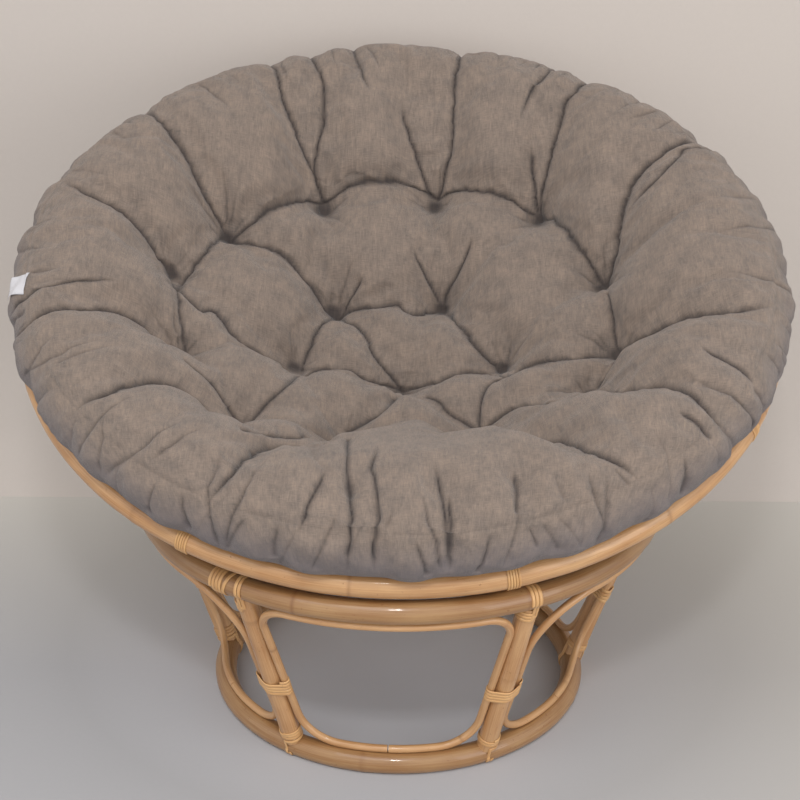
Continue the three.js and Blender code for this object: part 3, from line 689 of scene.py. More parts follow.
def waist_route(cane, peel, angle):
    """Peel round a post and the uprights of the loops on both sides of it."""
    room, spacing = 0.0007, 0.003
    foot, head = post_line(cane, angle)
    axis = unit(head - foot)
    along = around(angle + 90, 1.0, 0.0)
    front = np.cross(along, axis)
    centre = foot + (head - foot) * WAIST_SHARE
    stand_off = cane.post_pole + TOUCH + cane.loop_pole
    swings = np.linspace(0, 2 * math.pi, 40, endpoint=False)
    ring = np.stack([np.cos(swings), np.sin(swings)], 1)
    circles = [ring * (cane.post_pole + room)]
    circles += [ring * (cane.loop_pole + room) + (side * stand_off, 0) for side in (-1, 1)]
    outline = hull_of(np.concatenate(circles))
    outline = resampled(np.concatenate([outline, outline[:1]]), spacing)[:-1]
    normal = unit(np.roll(outline, -1, 0) - np.roll(outline, 1, 0))[:, ::-1] * (1, -1)
    count = len(outline)
    stations = np.arange(peel.waist_turns * count + count // 3 + 1)
    order = (stations + int(np.argmin(outline[:, 1]))) % count
    rise = stations / count * peel.pitch
    flat, facing = outline[order], normal[order]
    path = (
        centre + flat[:, :1] * along + flat[:, 1:] * front
        + (rise - rise[-1] / 2)[:, None] * axis
    )
    return path, facing[:, :1] * along + facing[:, 1:] * front


def rib_line(cane, angle):
    """The middle line of a rib, about the bowl's sphere."""
    radius = sphere_radius(cane)
    high, low = math.asin(cane.rim / radius), math.asin(cane.lower_ring / radius)
    neck = RIB_NECK / radius
    swings = np.concatenate([[high], np.linspace(high - neck, low + neck, 60), [low]])
    return around(angle, radius * np.sin(swings), -radius * np.cos(swings))


# Materials

def feed(tree, made, inputs):
    """Links or sets the inputs of a node."""
    for key, value in inputs.items():
        if isinstance(value, bpy.types.NodeSocket):
            tree.links.new(value, made.inputs[key])
        else:
            made.inputs[key].default_value = value


def node(tree, kind, inputs=None, **settings):
    made = tree.nodes.new(f"ShaderNode{kind}")
    for key, value in settings.items():
        setattr(made, key, value)
    feed(tree, made, inputs or {})
    return made


def mixed(tree, factor, first, second):
    return node(tree, "Mix", {0: factor, 6: first, 7: second}, data_type="RGBA").outputs[2]


def maths(tree, operation, *values):
    return node(tree, "Math", dict(enumerate(values)), operation=operation).outputs[0]


def spanned(tree, value, low, high, to_low=0.0, to_high=1.0):
    """The value's span from low to high, carried to another span."""
    span = {"From Min": low, "From Max": high, "To Min": to_low, "To Max": to_high}
    return node(tree, "MapRange", {"Value": value, **span}).outputs[0]


def stretched(tree, place, stretch):
    return node(tree, "VectorMath", {0: place, 1: stretch}, operation="MULTIPLY").outputs[0]


def noise(tree, place, scale, detail, roughness=0.5):
    inputs = {"Vector": place, "Scale": scale, "Detail": detail, "Roughness": roughness}
    return node(tree, "TexNoise", inputs).outputs[0]


def mark(tree, title, output="Fac"):
    return node(tree, "Attribute", attribute_name=title).outputs[output]


def relief(tree, height, strength, distance, under=None):
    inputs = {"Height": height, "Strength": strength, "Distance": distance}
    return node(tree, "Bump", inputs | ({"Normal": under} if under is not None else {})).outputs[0]


def effect(name, inputs, outputs):
    """An empty shader node group. An input given as a tuple is a colour."""
    tree = bpy.data.node_groups.new(name, "ShaderNodeTree")
    for title, default in inputs.items():
        kind = "NodeSocketColor" if isinstance(default, tuple) else "NodeSocketFloat"
        socket = tree.interface.new_socket(title, in_out="INPUT", socket_type=kind)
        socket.default_value = default
    for title in outputs:
        kind = "NodeSocketColor" if title == "Colour" else "NodeSocketFloat"
        tree.interface.new_socket(title, in_out="OUTPUT", socket_type=kind)
    return tree, tree.nodes.new("NodeGroupInput").outputs, tree.nodes.new("NodeGroupOutput")


def cane_grain(name):
    """Fibres along the cane, cloudy blotches, dark specks and knots."""
    tree, given, made = effect(
        name,
        {"Pale": (0.8, 0.6, 0.4, 1), "Dark": (0.5, 0.3, 0.1, 1), "Knot": (0.2, 0.1, 0.03, 1),
         "Speckle": 0.5},
        ("Colour", "Height", "Roughness"),
    )
    grain, knot = mark(tree, "grain", "Vector"), mark(tree, "knot")
    fibres = noise(tree, stretched(tree, grain, (1, 1, 0.022)), 620.0, 3.0, 0.6)
    bands = noise(tree, stretched(tree, grain, (1, 1, 0.09)), 130.0, 2.0)
    clouds, specks = noise(tree, grain, 16.0, 3.0), noise(tree, grain, 240.0, 1.0)
    tone = maths(tree, "MULTIPLY_ADD", fibres, 0.75, maths(tree, "MULTIPLY", bands, 0.45))
    tone = spanned(tree, maths(tree, "MULTIPLY_ADD", clouds, 0.55, tone), 0.62, 1.12)
    shown = mixed(tree, tone, given["Dark"], given["Pale"])
    spots = maths(tree, "MULTIPLY", spanned(tree, specks, 0.70, 0.80), given["Speckle"])
    shown = mixed(tree, spots, shown, given["Knot"])
    scar = maths(tree, "MULTIPLY", knot, spanned(tree, fibres, 0.3, 0.6, 0.45, 0.95))
    feed(tree, made, {
        "Colour": mixed(tree, scar, shown, given["Knot"]),
        "Height": maths(tree, "MULTIPLY_ADD", knot, -0.5, fibres),
        "Roughness": spanned(tree, clouds, 0.3, 0.7, 0.42, 0.58),
    })
    return tree


def woven_threads(name):
    """Threads that cross, with slubs and a heather of pale and dark yarn."""
    tree, given, made = effect(
        name,
        {"Pale": (0.6, 0.6, 0.6, 1), "Dark": (0.3, 0.3, 0.3, 1), "Threads": 1100.0, "Heather": 0.6},
        ("Colour", "Height"),
    )
    place = mark(tree, "weave", "Vector")
    scale = maths(tree, "MULTIPLY", given["Threads"], 0.31831)
    wave = {"Vector": place, "Distortion": 1.2, "Detail": 1.0, "Detail Scale": 0.6, "Scale": scale}
    threads = [node(tree, "TexWave", wave, bands_direction=way).outputs["Fac"] for way in "XY"]
    slubs = [
        noise(tree, stretched(tree, place, stretch), 1150.0, 2.0, 0.6)
        for stretch in ((1.0, 0.07, 1.0), (0.07, 1.0, 1.0))
    ]
    blotch = noise(tree, place, 30.0, 6.0, 0.68)
    streaks = noise(tree, stretched(tree, place, (1.0, 0.16, 1.0)), 210.0, 4.0, 0.7)
    yarn = maths(tree, "MULTIPLY_ADD", blotch, 1.1, maths(tree, "ADD", *slubs))
    yarn = spanned(tree, maths(tree, "MULTIPLY_ADD", streaks, 0.9, yarn), 1.62, 2.38)
    plain = mixed(tree, 0.5, given["Dark"], given["Pale"])
    heather = mixed(tree, yarn, given["Dark"], given["Pale"])
    feed(tree, made, {
        "Colour": mixed(tree, given["Heather"], plain, heather),
        "Height": maths(tree, "MULTIPLY_ADD", yarn, 0.8, maths(tree, "ADD", *threads)),
    })
    return tree


def effect_node(tree, name, make, inputs):
    """A node with the named group, which is made when it is first asked for."""
    group = bpy.data.node_groups.get(name) or make(name)
    return node(tree, "Group", inputs, node_tree=group).outputs


def new_material(name):
    material = bpy.data.materials.new(name)
    material.use_nodes = True
    return material, material.node_tree, material.node_tree.nodes["Principled BSDF"]


def cane_material(name, finish):
    colours, speckle, varnish, depth = CANES[name]
    pale, dark = (getattr(finish, f"{colours}_{shade}") for shade in ("pale", "dark"))
    material, tree, shader = new_material(name)
    grain = effect_node(tree, "Cane grain", cane_grain, {
        "Pale": pale, "Dark": dark, "Knot": finish.knot, "Speckle": speckle,
    })
    convexity = node(tree, "NewGeometry").outputs["Pointiness"]
    # Paler towards the pale fibres on the most convex parts of the cane.
    edge = spanned(tree, convexity, 0.52, 0.60, 0.0, 0.30)
    feed(tree, shader, {
        "Base Color": mixed(tree, edge, grain["Colour"], pale),
        "Roughness": grain["Roughness"],
        "Coat Weight": varnish,
        "Coat Roughness": VARNISH_ROUGHNESS,
        "Normal": relief(tree, grain["Height"], 0.6, depth),
    })
    return material


def cushion_material(name, finish):
    material, tree, shader = new_material(name)
    weave = effect_node(tree, "Woven threads", woven_threads, {
        "Pale": finish.cloth_pale, "Dark": finish.cloth_dark, "Threads": 1600.0, "Heather": 0.62,
    })
    # Painted shade: the cloth darkens along the creases and in the tuft dimples.
    fold = spanned(tree, mark(tree, "fold"), 0.12, 0.85, 0.0, 0.80)
    # Painted shade: the cloth below the seam is mixed towards a cool dark tint.
    band = maths(tree, "MULTIPLY", mark(tree, "band"), 0.55)
    band_shaded = mixed(tree, band, weave["Colour"], tint(BAND_SHADE_TINT))
    wrinkles = noise(tree, mark(tree, "weave", "Vector"), 55.0, 4.0, 0.55)
    soft = relief(tree, wrinkles, 0.35, 0.0035)
    feed(tree, shader, {
        "Base Color": mixed(tree, fold, band_shaded, tint(FOLD_SHADE_TINT)),
        "Roughness": 0.92,
        "Specular IOR Level": 0.25,
        "Sheen Weight": 0.18,
        "Sheen Roughness": 0.45,
        "Normal": relief(tree, weave["Height"], 0.5, 0.0003, soft),
    })
    return material


def tag_material(name, finish):
    material, tree, shader = new_material(name)
    pale = tuple(finish.tag_cloth)
    dark = (*(0.8 * part for part in pale[:3]), 1)
    weave = effect_node(tree, "Woven threads", woven_threads, {
        "Pale": pale, "Dark": dark, "Threads": 2600.0, "Heather": 0.5,
    })
    feed(tree, shader, {
        "Base Color": weave["Colour"],
        "Roughness": 0.7,
        "Sheen Weight": 0.1,
        "Normal": relief(tree, weave["Height"], 0.4, 0.0001),
    })
    return material


def dress(thing, name, body, replaced):
    """Gives a piece its material and its body, and hides the CAD node that it stands for."""
    make = {"cushion_weave": cushion_material, "care_tag_weave": tag_material}
    finish = bpy.context.scene.papasan_finish
    ready = bpy.data.materials.get(name)
    thing.data.materials.append(ready or make.get(name, cane_material)(name, finish))
    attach(thing, body)
    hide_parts(replaced)



# Canes and windings

def rest_on_floor(mesh, cane):
    """Flattens the floor ring below, and more where a winding lies between it and the floor."""
    places = corners_of(mesh)
    spots = places - BASE_AXIS
    turn = np.degrees(np.arctan2(spots[:, 0], -spots[:, 1]))
    low = np.zeros(len(places))
    for angle in POST_ANGLES:
        apart = np.abs((turn - angle + 180) % 360 - 180)
        under = apart < math.degrees(UNDER_POST / cane.floor_ring)
        low = np.where(under, pressed_flat(places[:, 2]), low)
    places[:, 2] = np.maximum(places[:, 2], np.maximum(low, 0.0))
    mesh.vertices.foreach_set("co", places.ravel())


def rib_angle(number):
    return (number - 1) * 360 / RIB_COUNT


class PAPASAN_OT_rings(bpy.types.Operator):
    """Makes the floor ring and the seat ring"""

    bl_idname = "papasan.rings"
    bl_label = "Base rings"

    def execute(self, context):
        cane = context.scene.papasan_cane
        low, thick = cane.ring_pole - RING_FLAT, cane.ring_pole
        floor = ring_pole("floor_ring_pole", cane.floor_ring, thick, low, 3, cane, on_base)
        rest_on_floor(floor.data, cane)
        # The base rings take the darker ring material: painted shade.
        dress(floor, "rattan_ring", "base", "floor_ring")
        seat = ring_pole(
            "seat_ring_pole", cane.seat_ring, thick, cane.seat_height, 5, cane, on_base
        )
        dress(seat, "rattan_ring", "base", "seat_ring")
        return {"FINISHED"}


class PAPASAN_OT_posts(bpy.types.Operator):
    """Makes the six posts between the rings"""

    bl_idname = "papasan.posts"
    bl_label = "Posts"

    def execute(self, context):
        cane = context.scene.papasan_cane
        for number, angle in enumerate(POST_ANGLES, 1):
            foot, head = post_line(cane, angle)
            inset = unit(head - foot) * (cane.ring_pole - POST_COPE)
            line = resampled(np.array([foot + inset, head - inset]), CANE_STEP)
            post = pole(f"post_pole_{number}", line, cane.post_pole, 20 + number, cane, 26)
            dress(post, "rattan_pole", "base", f"post_{number}")
        return {"FINISHED"}


class PAPASAN_OT_loops(bpy.types.Operator):
    """Makes the bent loops in the windows between the posts"""

    bl_idname = "papasan.loops"
    bl_label = "Window loops"

    def execute(self, context):
        cane = context.scene.papasan_cane
        for index in range(len(POST_ANGLES)):
            number = index + 1
            path = window_path(cane, index)
            loop = pole(f"window_pole_{number}", path, cane.loop_pole, 40 + number, cane, 16)
            dress(loop, "rattan_switch", "base", f"window_loop_{number}")
        return {"FINISHED"}


class PAPASAN_OT_windings(bpy.types.Operator):
    """Winds the peel round the joints of the base"""

    bl_idname = "papasan.windings"
    bl_label = "Base windings"

    def execute(self, context):
        cane, peel = context.scene.papasan_cane, context.scene.papasan_peel
        reaches = cane.ring_pole + peel.clearance, cane.post_pole + peel.clearance
        seat_middle = BASE_AXIS + (0, 0, cane.seat_height)
        floor_middle = BASE_AXIS + (0, 0, cane.ring_pole - RING_FLAT)
        for number, angle in enumerate(POST_ANGLES, 1):
            foot, head = post_line(cane, angle)
            axis, across = unit(head - foot), around(angle + 90, 1.0, 0.0)
            top = lashing(
                head, -axis, -across, seat_middle, *reaches, peel.post_slings, peel.pitch,
                ring_turns=4 if number == 1 else 0,
            )
            waist = waist_route(cane, peel, angle)
            low = lashing(foot, axis, across, floor_middle, *reaches, 2, peel.pitch, neck_turns=2)
            for title, route, seed in (("top", top, 60), ("waist", waist, 70), ("foot", low, 80)):
                winding = peel_mesh(
                    f"{title}_winding_{number}", *route, peel, seed + number, peel.width,
                    flat_below=title == "foot",
                )
                dress(winding, "rattan_peel", "base", f"{title}_binding_{number}")
        return {"FINISHED"}


class PAPASAN_OT_bowl(bpy.types.Operator):
    """Makes the bowl: rim, lower ring and ribs"""

    bl_idname = "papasan.bowl"
    bl_label = "Bowl"

    def execute(self, context):
        cane = context.scene.papasan_cane
        high, low = (-ring_drop(cane, ring) for ring in (cane.rim, cane.lower_ring))
        rim = ring_pole("rim_pole", cane.rim, cane.rim_pole, high, 7, cane, from_bowl, rubbed=True)
        dress(rim, "rattan_pole", "bowl", "bowl_rim")
        ring = ring_pole(
            "lower_ring_pole", cane.lower_ring, cane.lower_pole, low, 9, cane, from_bowl, 20
        )
        dress(ring, "rattan_pole", "bowl", "bowl_lower_ring")
        for number in range(1, RIB_COUNT + 1):
            line = resampled(rib_line(cane, rib_angle(number)), CANE_STEP)
            line = from_bowl(line[INSIDE_RIM:-INSIDE_LOWER_RING], BOWL_SWIVEL)
            line = resampled(line, CANE_STEP)
            rib = pole(f"rib_pole_{number}", line, cane.rib_pole, 100 + number, cane, 22)
            dress(rib, "rattan_pole", "bowl", f"bowl_rib_{number}")
        return {"FINISHED"}


class PAPASAN_OT_bowl_windings(bpy.types.Operator):
    """Winds the peel round the joints of the bowl"""

    bl_idname = "papasan.bowl_windings"
    bl_label = "Bowl windings"

    def execute(self, context):
        cane, peel = context.scene.papasan_cane, context.scene.papasan_peel
        for number in range(1, RIB_COUNT + 1):
            line = rib_line(cane, rib_angle(number))
            across = around(rib_angle(number) + 90, 1.0, 0.0)
            for title, end, following, ring, slings, pitch, hand, seed in (
                ("rim", 0, 1, cane.rim_pole, 5, peel.fine_pitch, -1, 120),
                ("rib_foot", -1, -2, cane.lower_pole, 1, peel.pitch, 1, 140),
            ):
                centre = line[end]
                down = unit(line[following] - centre)
                path, out = lashing(
                    centre, down, hand * across, np.array([0, 0, centre[2]]),
                    ring + peel.clearance, cane.rib_pole + peel.clearance, slings, pitch,
                )
                there = from_bowl(path, BOWL_SWIVEL)
                facing = unit(from_bowl(path + out, BOWL_SWIVEL) - there)
                winding = peel_mesh(
                    f"{title}_winding_{number}", there, facing, peel, seed + number,
                    pitch * peel.width / peel.pitch,
                )
                dress(winding, "rattan_peel", "bowl", f"{title}_binding_{number}")
        return {"FINISHED"}


# Cushion

def ramp(value, start, span):
    """How far a value has gone along a span, from 0 to 1."""
    return np.clip((value - start) / span, 0, 1)


def dish_height(size, share):
    fullness = 1 + DISH_FULLNESS * (1 - share ** 4)
    return (size.crown_height + size.dish) * fullness * share ** 2 - size.dish


def cushion_profile(size, cane):
    """Radius and height above the rim's plane, from the middle of the dish round to below."""
    stations, dish_end = 40, 0.93
    share = np.linspace(0, dish_end, stations)
    dish = np.stack([share * size.crown_radius, dish_height(size, share)], 1)
    edge = np.array([
        (size.crown_radius - 0.004, size.crown_height - 0.001),
        (size.crown_radius + 0.022, size.crown_height + 0.0005),
        (size.seam_radius - 0.012, size.crown_height - 0.007),
        (size.seam_radius, size.seam_height),
        (size.seam_radius + 0.014, size.seam_height - 0.012),
        (size.side_radius - 0.004, size.side_height + 0.012),
        (size.side_radius - 0.002, size.side_height - 0.006),
        (size.side_radius - 0.008, size.side_height - 0.020),
        (cane.rim + 0.0130, 0.0215),
        (cane.rim - 0.0040, 0.0228),
        (cane.rim - 0.0190, 0.0120),
    ])
    bed_radius = sphere_radius(cane) - cane.rib_pole - BED_GAP
    swing = np.linspace(1, 0, stations) * math.asin((cane.rim - BED_INSET) / bed_radius)
    drop = ring_drop(cane, cane.rim)
    bed = np.stack([bed_radius * np.sin(swing), drop - bed_radius * np.cos(swing)], 1)
    return smoothed(np.concatenate([dish, edge, bed]), LINE_STEP)


def smoothed(line, spacing):
    """An evenly stepped line with its corners eased."""
    line = resampled(line, spacing)
    for _ in range(3):
        line[1:-1] = 0.25 * line[:-2] + 0.5 * line[1:-1] + 0.25 * line[2:]
    return line


def sunk(size, angle):
    """How far the edge has sunk into the bowl at an angle."""
    return size.slump * (0.5 - 0.5 * np.cos(np.radians(angle))) ** 2


def tuft_places():
    return np.array([around(angle, radius, 0.0)[:2] for angle, radius, *_ in TUFTS])


def nearest_tuft(local):
    """How far places about the bowl's axis are from the nearest tuft."""
    return np.min([np.linalg.norm(local[:, :2] - tuft, axis=1) for tuft in tuft_places()], 0)


def drawn_in(size, flat):
    """How far the tufts draw the top down at flat places in the bowl."""
    wide_share, core_share = 0.55, 0.75
    fall = np.zeros(len(flat))
    for number, tuft in enumerate(tuft_places()):
        depth = size.tuft_depth * (1.0 if number < OUTER_TUFTS else INNER_TUFT_DEPTH)
        apart = np.linalg.norm(flat - tuft, axis=1)
        fall += wide_share * depth * np.exp(-((apart / size.tuft_width) ** 2) / 2)
        fall += core_share * depth * np.exp(-apart / TUFT_CORE)
    return fall


def cushion_rows(size, rows):
    """Rings of points, sunk at the back, uneven at the side and drawn in at the tufts."""
    side_reach, side_height = (0.51, 0.03), (0.012, 0.01)
    sunk_reach, sunk_height = (0.25, 0.22), (0.02, 0.05)
    top_reach = size.seam_radius + 0.01
    angles = np.linspace(0, 360, CUSHION_COLUMNS, endpoint=False)
    turn = np.radians(angles)
    slump = sunk(size, angles)
    wave = sum(height * np.sin(count * turn + phase) for height, count, phase in SIDE_WAVES)
    top = np.argmax(rows[:, 0])
    points = []
    for row, (reach, height) in enumerate(rows):
        side = ramp(reach, *side_reach) * ramp(height, *side_height)
        ring = around(angles, reach + wave * side, height)
        ring[:, 2] -= slump * (ramp(reach, *sunk_reach) * ramp(height, *sunk_height))
        if row <= top and reach < top_reach:
            ring[:, 2] -= drawn_in(size, ring[:, :2])
        points.append(ring)
    return np.concatenate(points)


def cushion_faces(count):
    """Faces between rings of points, closed by the last two points."""
    last = (count - 1) * CUSHION_COLUMNS
    middle, base = last + CUSHION_COLUMNS, last + CUSHION_COLUMNS + 1
    faces = []
    for column in range(CUSHION_COLUMNS):
        after = (column + 1) % CUSHION_COLUMNS
        faces.append([middle, column, after])
        for first in range(0, last, CUSHION_COLUMNS):
            a, b = first + column, first + after
            faces.append([a, a + CUSHION_COLUMNS, b + CUSHION_COLUMNS, b])
        faces.append([base, last + after, last + column])
    return faces


def cushion_form(size, cane):
    """The closed form of the cushion before it is stuffed, remeshed evenly."""
    profile = cushion_profile(size, cane)
    ends = np.array([[0, 0, profile[0, 1]], [0, 0, profile[-1, 1]]])
    ends[0, 2] -= drawn_in(size, np.zeros((1, 2)))[0]
    points = np.concatenate([cushion_rows(size, profile[1:-1]), ends])
    points[:, 2] -= ring_drop(cane, cane.rim)
    form = new_mesh("cushion_pad", from_bowl(points), cushion_faces(len(profile) - 2))
    remesh = form.modifiers.new("even", "REMESH")
    remesh.mode = "VOXEL"
    remesh.voxel_size = size.grain_size
    remesh.adaptivity = 0
    applied(form)
    return form


def applied(thing):
    """Makes the object's modifiers real."""
    graph = bpy.context.evaluated_depsgraph_get()
    graph.update()
    mesh = bpy.data.meshes.new_from_object(thing.evaluated_get(graph), depsgraph=graph)
    thing.modifiers.clear()
    old = thing.data
    thing.data = mesh
    bpy.data.meshes.remove(old)
    mesh.name = thing.name


def read_rows(source, field, count):
    rows = np.empty(count * 3)
    source.foreach_get(field, rows)
    return rows.reshape(-1, 3)


def corners_of(mesh):
    return read_rows(mesh.vertices, "co", len(mesh.vertices))


def facing_of(mesh):
    return read_rows(mesh.vertex_normals, "vector", len(mesh.vertices))


def about_bowl(places, cane):
    """Places about the bowl's axis, how far out they are and how high over the rim's plane."""
    local = to_bowl(places)
    return local, np.hypot(local[:, 0], local[:, 1]), local[:, 2] + ring_drop(cane, cane.rim)


def stuffed(form, size, cane):
    """Swells the cushion as cloth, held at its tufts and where it rests in the bowl."""
    faces_down, on_rim, rim_reach = -0.25, 0.034, 0.49
    edge_start, edge_span = 0.40, 0.07
    before = corners_of(form.data)
    local, reach, height = about_bowl(before, cane)
    held = facing_of(form.data) @ bowl_way((0, 0, 1.0)) < faces_down
    held |= ((height < on_rim) & (reach > rim_reach)) | (nearest_tuft(local) < TUFT_HOLD)
    tree = tree_of(form.data)
    folds = photographed_folds(tree, size, cane)
    lines = [fold.line for fold in folds if fold.depth >= LONG[0]]
    held |= close_to(before, [*lines, seam_line(tree, size, cane)], *PIN_REACH)
    group = form.vertex_groups.new(name="held")
    group.add(np.nonzero(held)[0].tolist(), 1.0, "REPLACE")
    run_cloth(form)
    move = corners_of(form.data) - before
    far = np.linalg.norm(move, axis=1, keepdims=True)
    cap = size.swell + (size.edge_swell - size.swell) * ramp(reach, edge_start, edge_span)
    move *= np.minimum(1.0, cap[:, None] / np.maximum(far, 1e-9))
    form.data.vertices.foreach_set("co", (before + move).ravel())
    form.data.update()


def run_cloth(form):
    """Lets the cloth swell for some frames, without gravity or collisions."""
    cloth = form.modifiers.new("stuffing", "CLOTH")
    for title, value in CLOTH.items():
        setattr(cloth.settings, title, value)
    cloth.settings.effector_weights.gravity = 0
    cloth.collision_settings.use_collision = False
    cloth.collision_settings.use_self_collision = False
    cloth.point_cache.frame_start = 1
    cloth.point_cache.frame_end = CLOTH_FRAMES
    for step in range(1, CLOTH_FRAMES + 1):
        bpy.context.scene.frame_set(step)
    applied(form)
    bpy.context.scene.frame_set(1)


def camera_matrix():
    return (
        Matrix.Translation(CAMERA_PLACE)
        @ Matrix.Rotation(math.radians(90 - CAMERA_PITCH), 4, "X")
        @ Matrix.Rotation(math.radians(CAMERA_ROLL), 4, "Z")
    )


def line_of_sight(pixel):
    """Where the photograph's camera stands, and the way it looks at a pixel."""
    view = camera_matrix()
    way = Vector((
        (pixel[0] - CENTRE_PIXEL[0]) / FOCAL_PIXELS,
        (CENTRE_PIXEL[1] - pixel[1]) / FOCAL_PIXELS,
        -1.0,
    ))
    return view.translation, (view.to_3x3() @ way).normalized()


def on_cloth(tree, pixel, depth):
    """The place on the cloth from which a fold of the given depth shows at the pixel."""
    start, way = line_of_sight(pixel)
    place, normal, _, _ = tree.ray_cast(start, way)
    if place is None:
        return None
    again, _, _, _ = tree.ray_cast(start + normal * depth, way)
    return np.array(again or place)


def eased_line(points, spacing=LINE_STEP):
    """A smooth line through the points."""
    points = np.array(points)
    if len(points) > 2:
        before, behind = 2 * points[:1] - points[1:2], 2 * points[-1:] - points[-2:-1]
        ends = np.concatenate([before, points, behind])
        fine = []
        for i in range(1, len(ends) - 2):
            a, b, c, d = ends[i - 1:i + 3]
            for t in np.linspace(0, 1, 12, endpoint=False):
                fine.append(0.5 * (2 * b + (c - a) * t + (2 * a - 5 * b + 4 * c - d) * t ** 2
                                   + (3 * b - a - 3 * c + d) * t ** 3))
        fine.append(points[-1])
        points = np.array(fine)
    return resampled(points, spacing)


def pressed_along(places, fold):
    """The places near a fold, how deep it presses each, and how sharply."""
    margin = SHOULDER_REACH * fold.shoulder
    low, high = fold.line.min(0) - margin, fold.line.max(0) + margin
    near = np.nonzero(((places > low) & (places < high)).all(1))[0]
    here = places[near]
    at = travelled(fold.line)
    best = np.full(len(near), np.inf)
    where = np.zeros(len(near))
    for i, (a, b) in enumerate(zip(fold.line, fold.line[1:])):
        span = b - a
        t = np.clip(((here - a) @ span) / max(span @ span, 1e-12), 0, 1)
        apart = np.linalg.norm(here - a - t[:, None] * span, axis=1)
        closer = apart < best
        best[closer] = apart[closer]
        where[closer] = at[i] + t[closer] * (at[i + 1] - at[i])
    share = where / at[-1]
    fade = np.ones(len(near))
    if fold.fade_in:
        fade *= np.clip(share / fold.fade_in, 0, 1)
    if fold.fade_out:
        fade *= np.clip((1 - share) / fold.fade_out, 0, 1)
    fade = fade * fade * (3 - 2 * fade)
    soft = np.exp(-((best / fold.shoulder) ** 2))
    sharp = np.exp(-best / fold.edge)
    pressed = SOFT_SHARE * soft + SHARP_SHARE * sharp
    return near, fold.depth * fade * pressed, fade * sharp


def close_to(places, lines, margin, reach):
    """Which places lie within reach of the lines."""
    close = np.zeros(len(places), bool)
    for line in lines:
        near, _, sharp = pressed_along(places, Fold(line, 1.0, margin, reach, 0, 0))
        close[near[sharp > math.exp(-1)]] = True
    return close


def found(spots):
    return [spot for spot in spots if spot is not None]


def over_the_edge(tree, size, cane, spots):
    """The rest of a fold that runs off the top, on over the seam. Empty where it doesn't."""
    least, most, below = 0.41, size.seam_radius - 0.006, 0.045
    before, last = to_bowl(np.array([spots[-3], spots[-1]]))
    reach, angle = np.hypot(last[0], last[1]), math.degrees(math.atan2(last[0], -last[1]))
    if reach < least or reach > most or np.hypot(*before[:2]) > reach:
        return []
    inward = size.seam_radius - reach
    shares = (-0.8, -0.6, -0.4, -0.2, 0.0, 0.2, 0.4, 0.6, 0.8, 1.0)
    return found(edge_spot(tree, size, cane, angle, share, inward, below) for share in shares)


def without_jumps(spots):
    """The longest run of spots with no jump from one side of a bulge to another."""
    runs = [[]]
    for spot in found(spots):
        if runs[-1] and np.linalg.norm(spot - runs[-1][-1]) > JUMP:
            runs.append([])
        runs[-1].append(spot)
    return max(runs, key=len)


def photographed_folds(tree, size, cane):
    """The folds that the photograph shows, as lines on the cloth."""
    seen_depth, fewest = 0.4, 3
    tuft_fade, edge_fade, open_fade = 0.0, 0.14, 0.28
    folds = []
    for (depth, shoulder), *pixels in FOLDS:
        course = eased_line(pixels, PIXEL_STEP)
        spots = without_jumps([on_cloth(tree, pixel, seen_depth * depth) for pixel in course])
        if len(spots) < fewest:
            continue
        fades = []
        for pixel in (pixels[0], pixels[-1]):
            spots.reverse()
            at_tuft = np.min(np.linalg.norm(TUFTS[:, 2:] - pixel, axis=1)) < PIXEL_REACH
            rest = [] if at_tuft else over_the_edge(tree, size, cane, spots)
            spots += rest
            fades.append(tuft_fade if at_tuft else edge_fade if rest else open_fade)
        folds.append(Fold(eased_line(spots), depth, shoulder, FOLD_EDGE, *fades))
    return folds


def tuft_gathers(tree, cane, rng):
    """Short folds that run out of each tuft."""
    reaches, bends, uneven = (0.030, 0.105), (-0.25, 0.25), (-0.25, 0.25)
    depths, shoulder, fades = (0.0026, 0.0070), 0.0085, (0.0, 0.8)
    stations, clear = 9, 0.2
    opening = Vector(bowl_way((0, 0, 1.0)))
    above = clear - ring_drop(cane, cane.rim)
    folds = []

    def dropped(flat):
        place, _, _, _ = tree.ray_cast(Vector(from_bowl((flat[0], flat[1], above))), -opening)
        return None if place is None else np.array(place)

    for tuft in tuft_places():
        ways = rng.uniform(0, WHOLE_TURN) + np.arange(TUFT_GATHERS) * 2 * math.pi / TUFT_GATHERS
        for turn in ways + rng.uniform(*uneven, TUFT_GATHERS):
            reach = rng.uniform(*reaches)
            bend = rng.uniform(*bends)
            spots = []
            for share in np.linspace(0, 1, stations):
                way = (math.cos(turn + bend * share), math.sin(turn + bend * share))
                spots.append(dropped(tuft + share * reach * np.array(way)))
            if len(found(spots)) == len(spots):
                line = eased_line(spots, SHORT_STEP)
                folds.append(Fold(line, rng.uniform(*depths), shoulder, GATHER_EDGE, *fades))
    return folds


def seam_puckers(tree, size, cane, rng):
    """Short folds that run up or down from the edge's seam, or across it."""
    chances, courses, fades = zip(*PUCKERS)
    gaps, leans, bows = (1.6, 4.6), (-3.2, 3.2), (-1.0, 1.0)
    inward, downward = (0.03, 0.12), (0.035, 0.062)
    depths, shoulders, fewest = (0.0025, 0.0078), (0.009, 0.018), 5
    folds = []
    angle = -180.0
    while angle < 180:
        angle += rng.uniform(*gaps)
        kind = rng.choice(len(PUCKERS), p=chances)
        above, below = rng.uniform(*inward), rng.uniform(*downward)
        lean, bow = rng.uniform(*leans), rng.uniform(*bows)
        shares = np.linspace(*courses[kind])
        angles = angle + lean * shares + bow * shares ** 2
        spots = without_jumps([
            edge_spot(tree, size, cane, turned_to, share, above, below)
            for turned_to, share in zip(angles, shares)
        ])
        if len(spots) >= fewest:
            line = eased_line(spots, SHORT_STEP)
            depth, shoulder = rng.uniform(*depths), rng.uniform(*shoulders)
            folds.append(Fold(line, depth, shoulder, PUCKER_EDGE, *fades[kind]))
    return folds


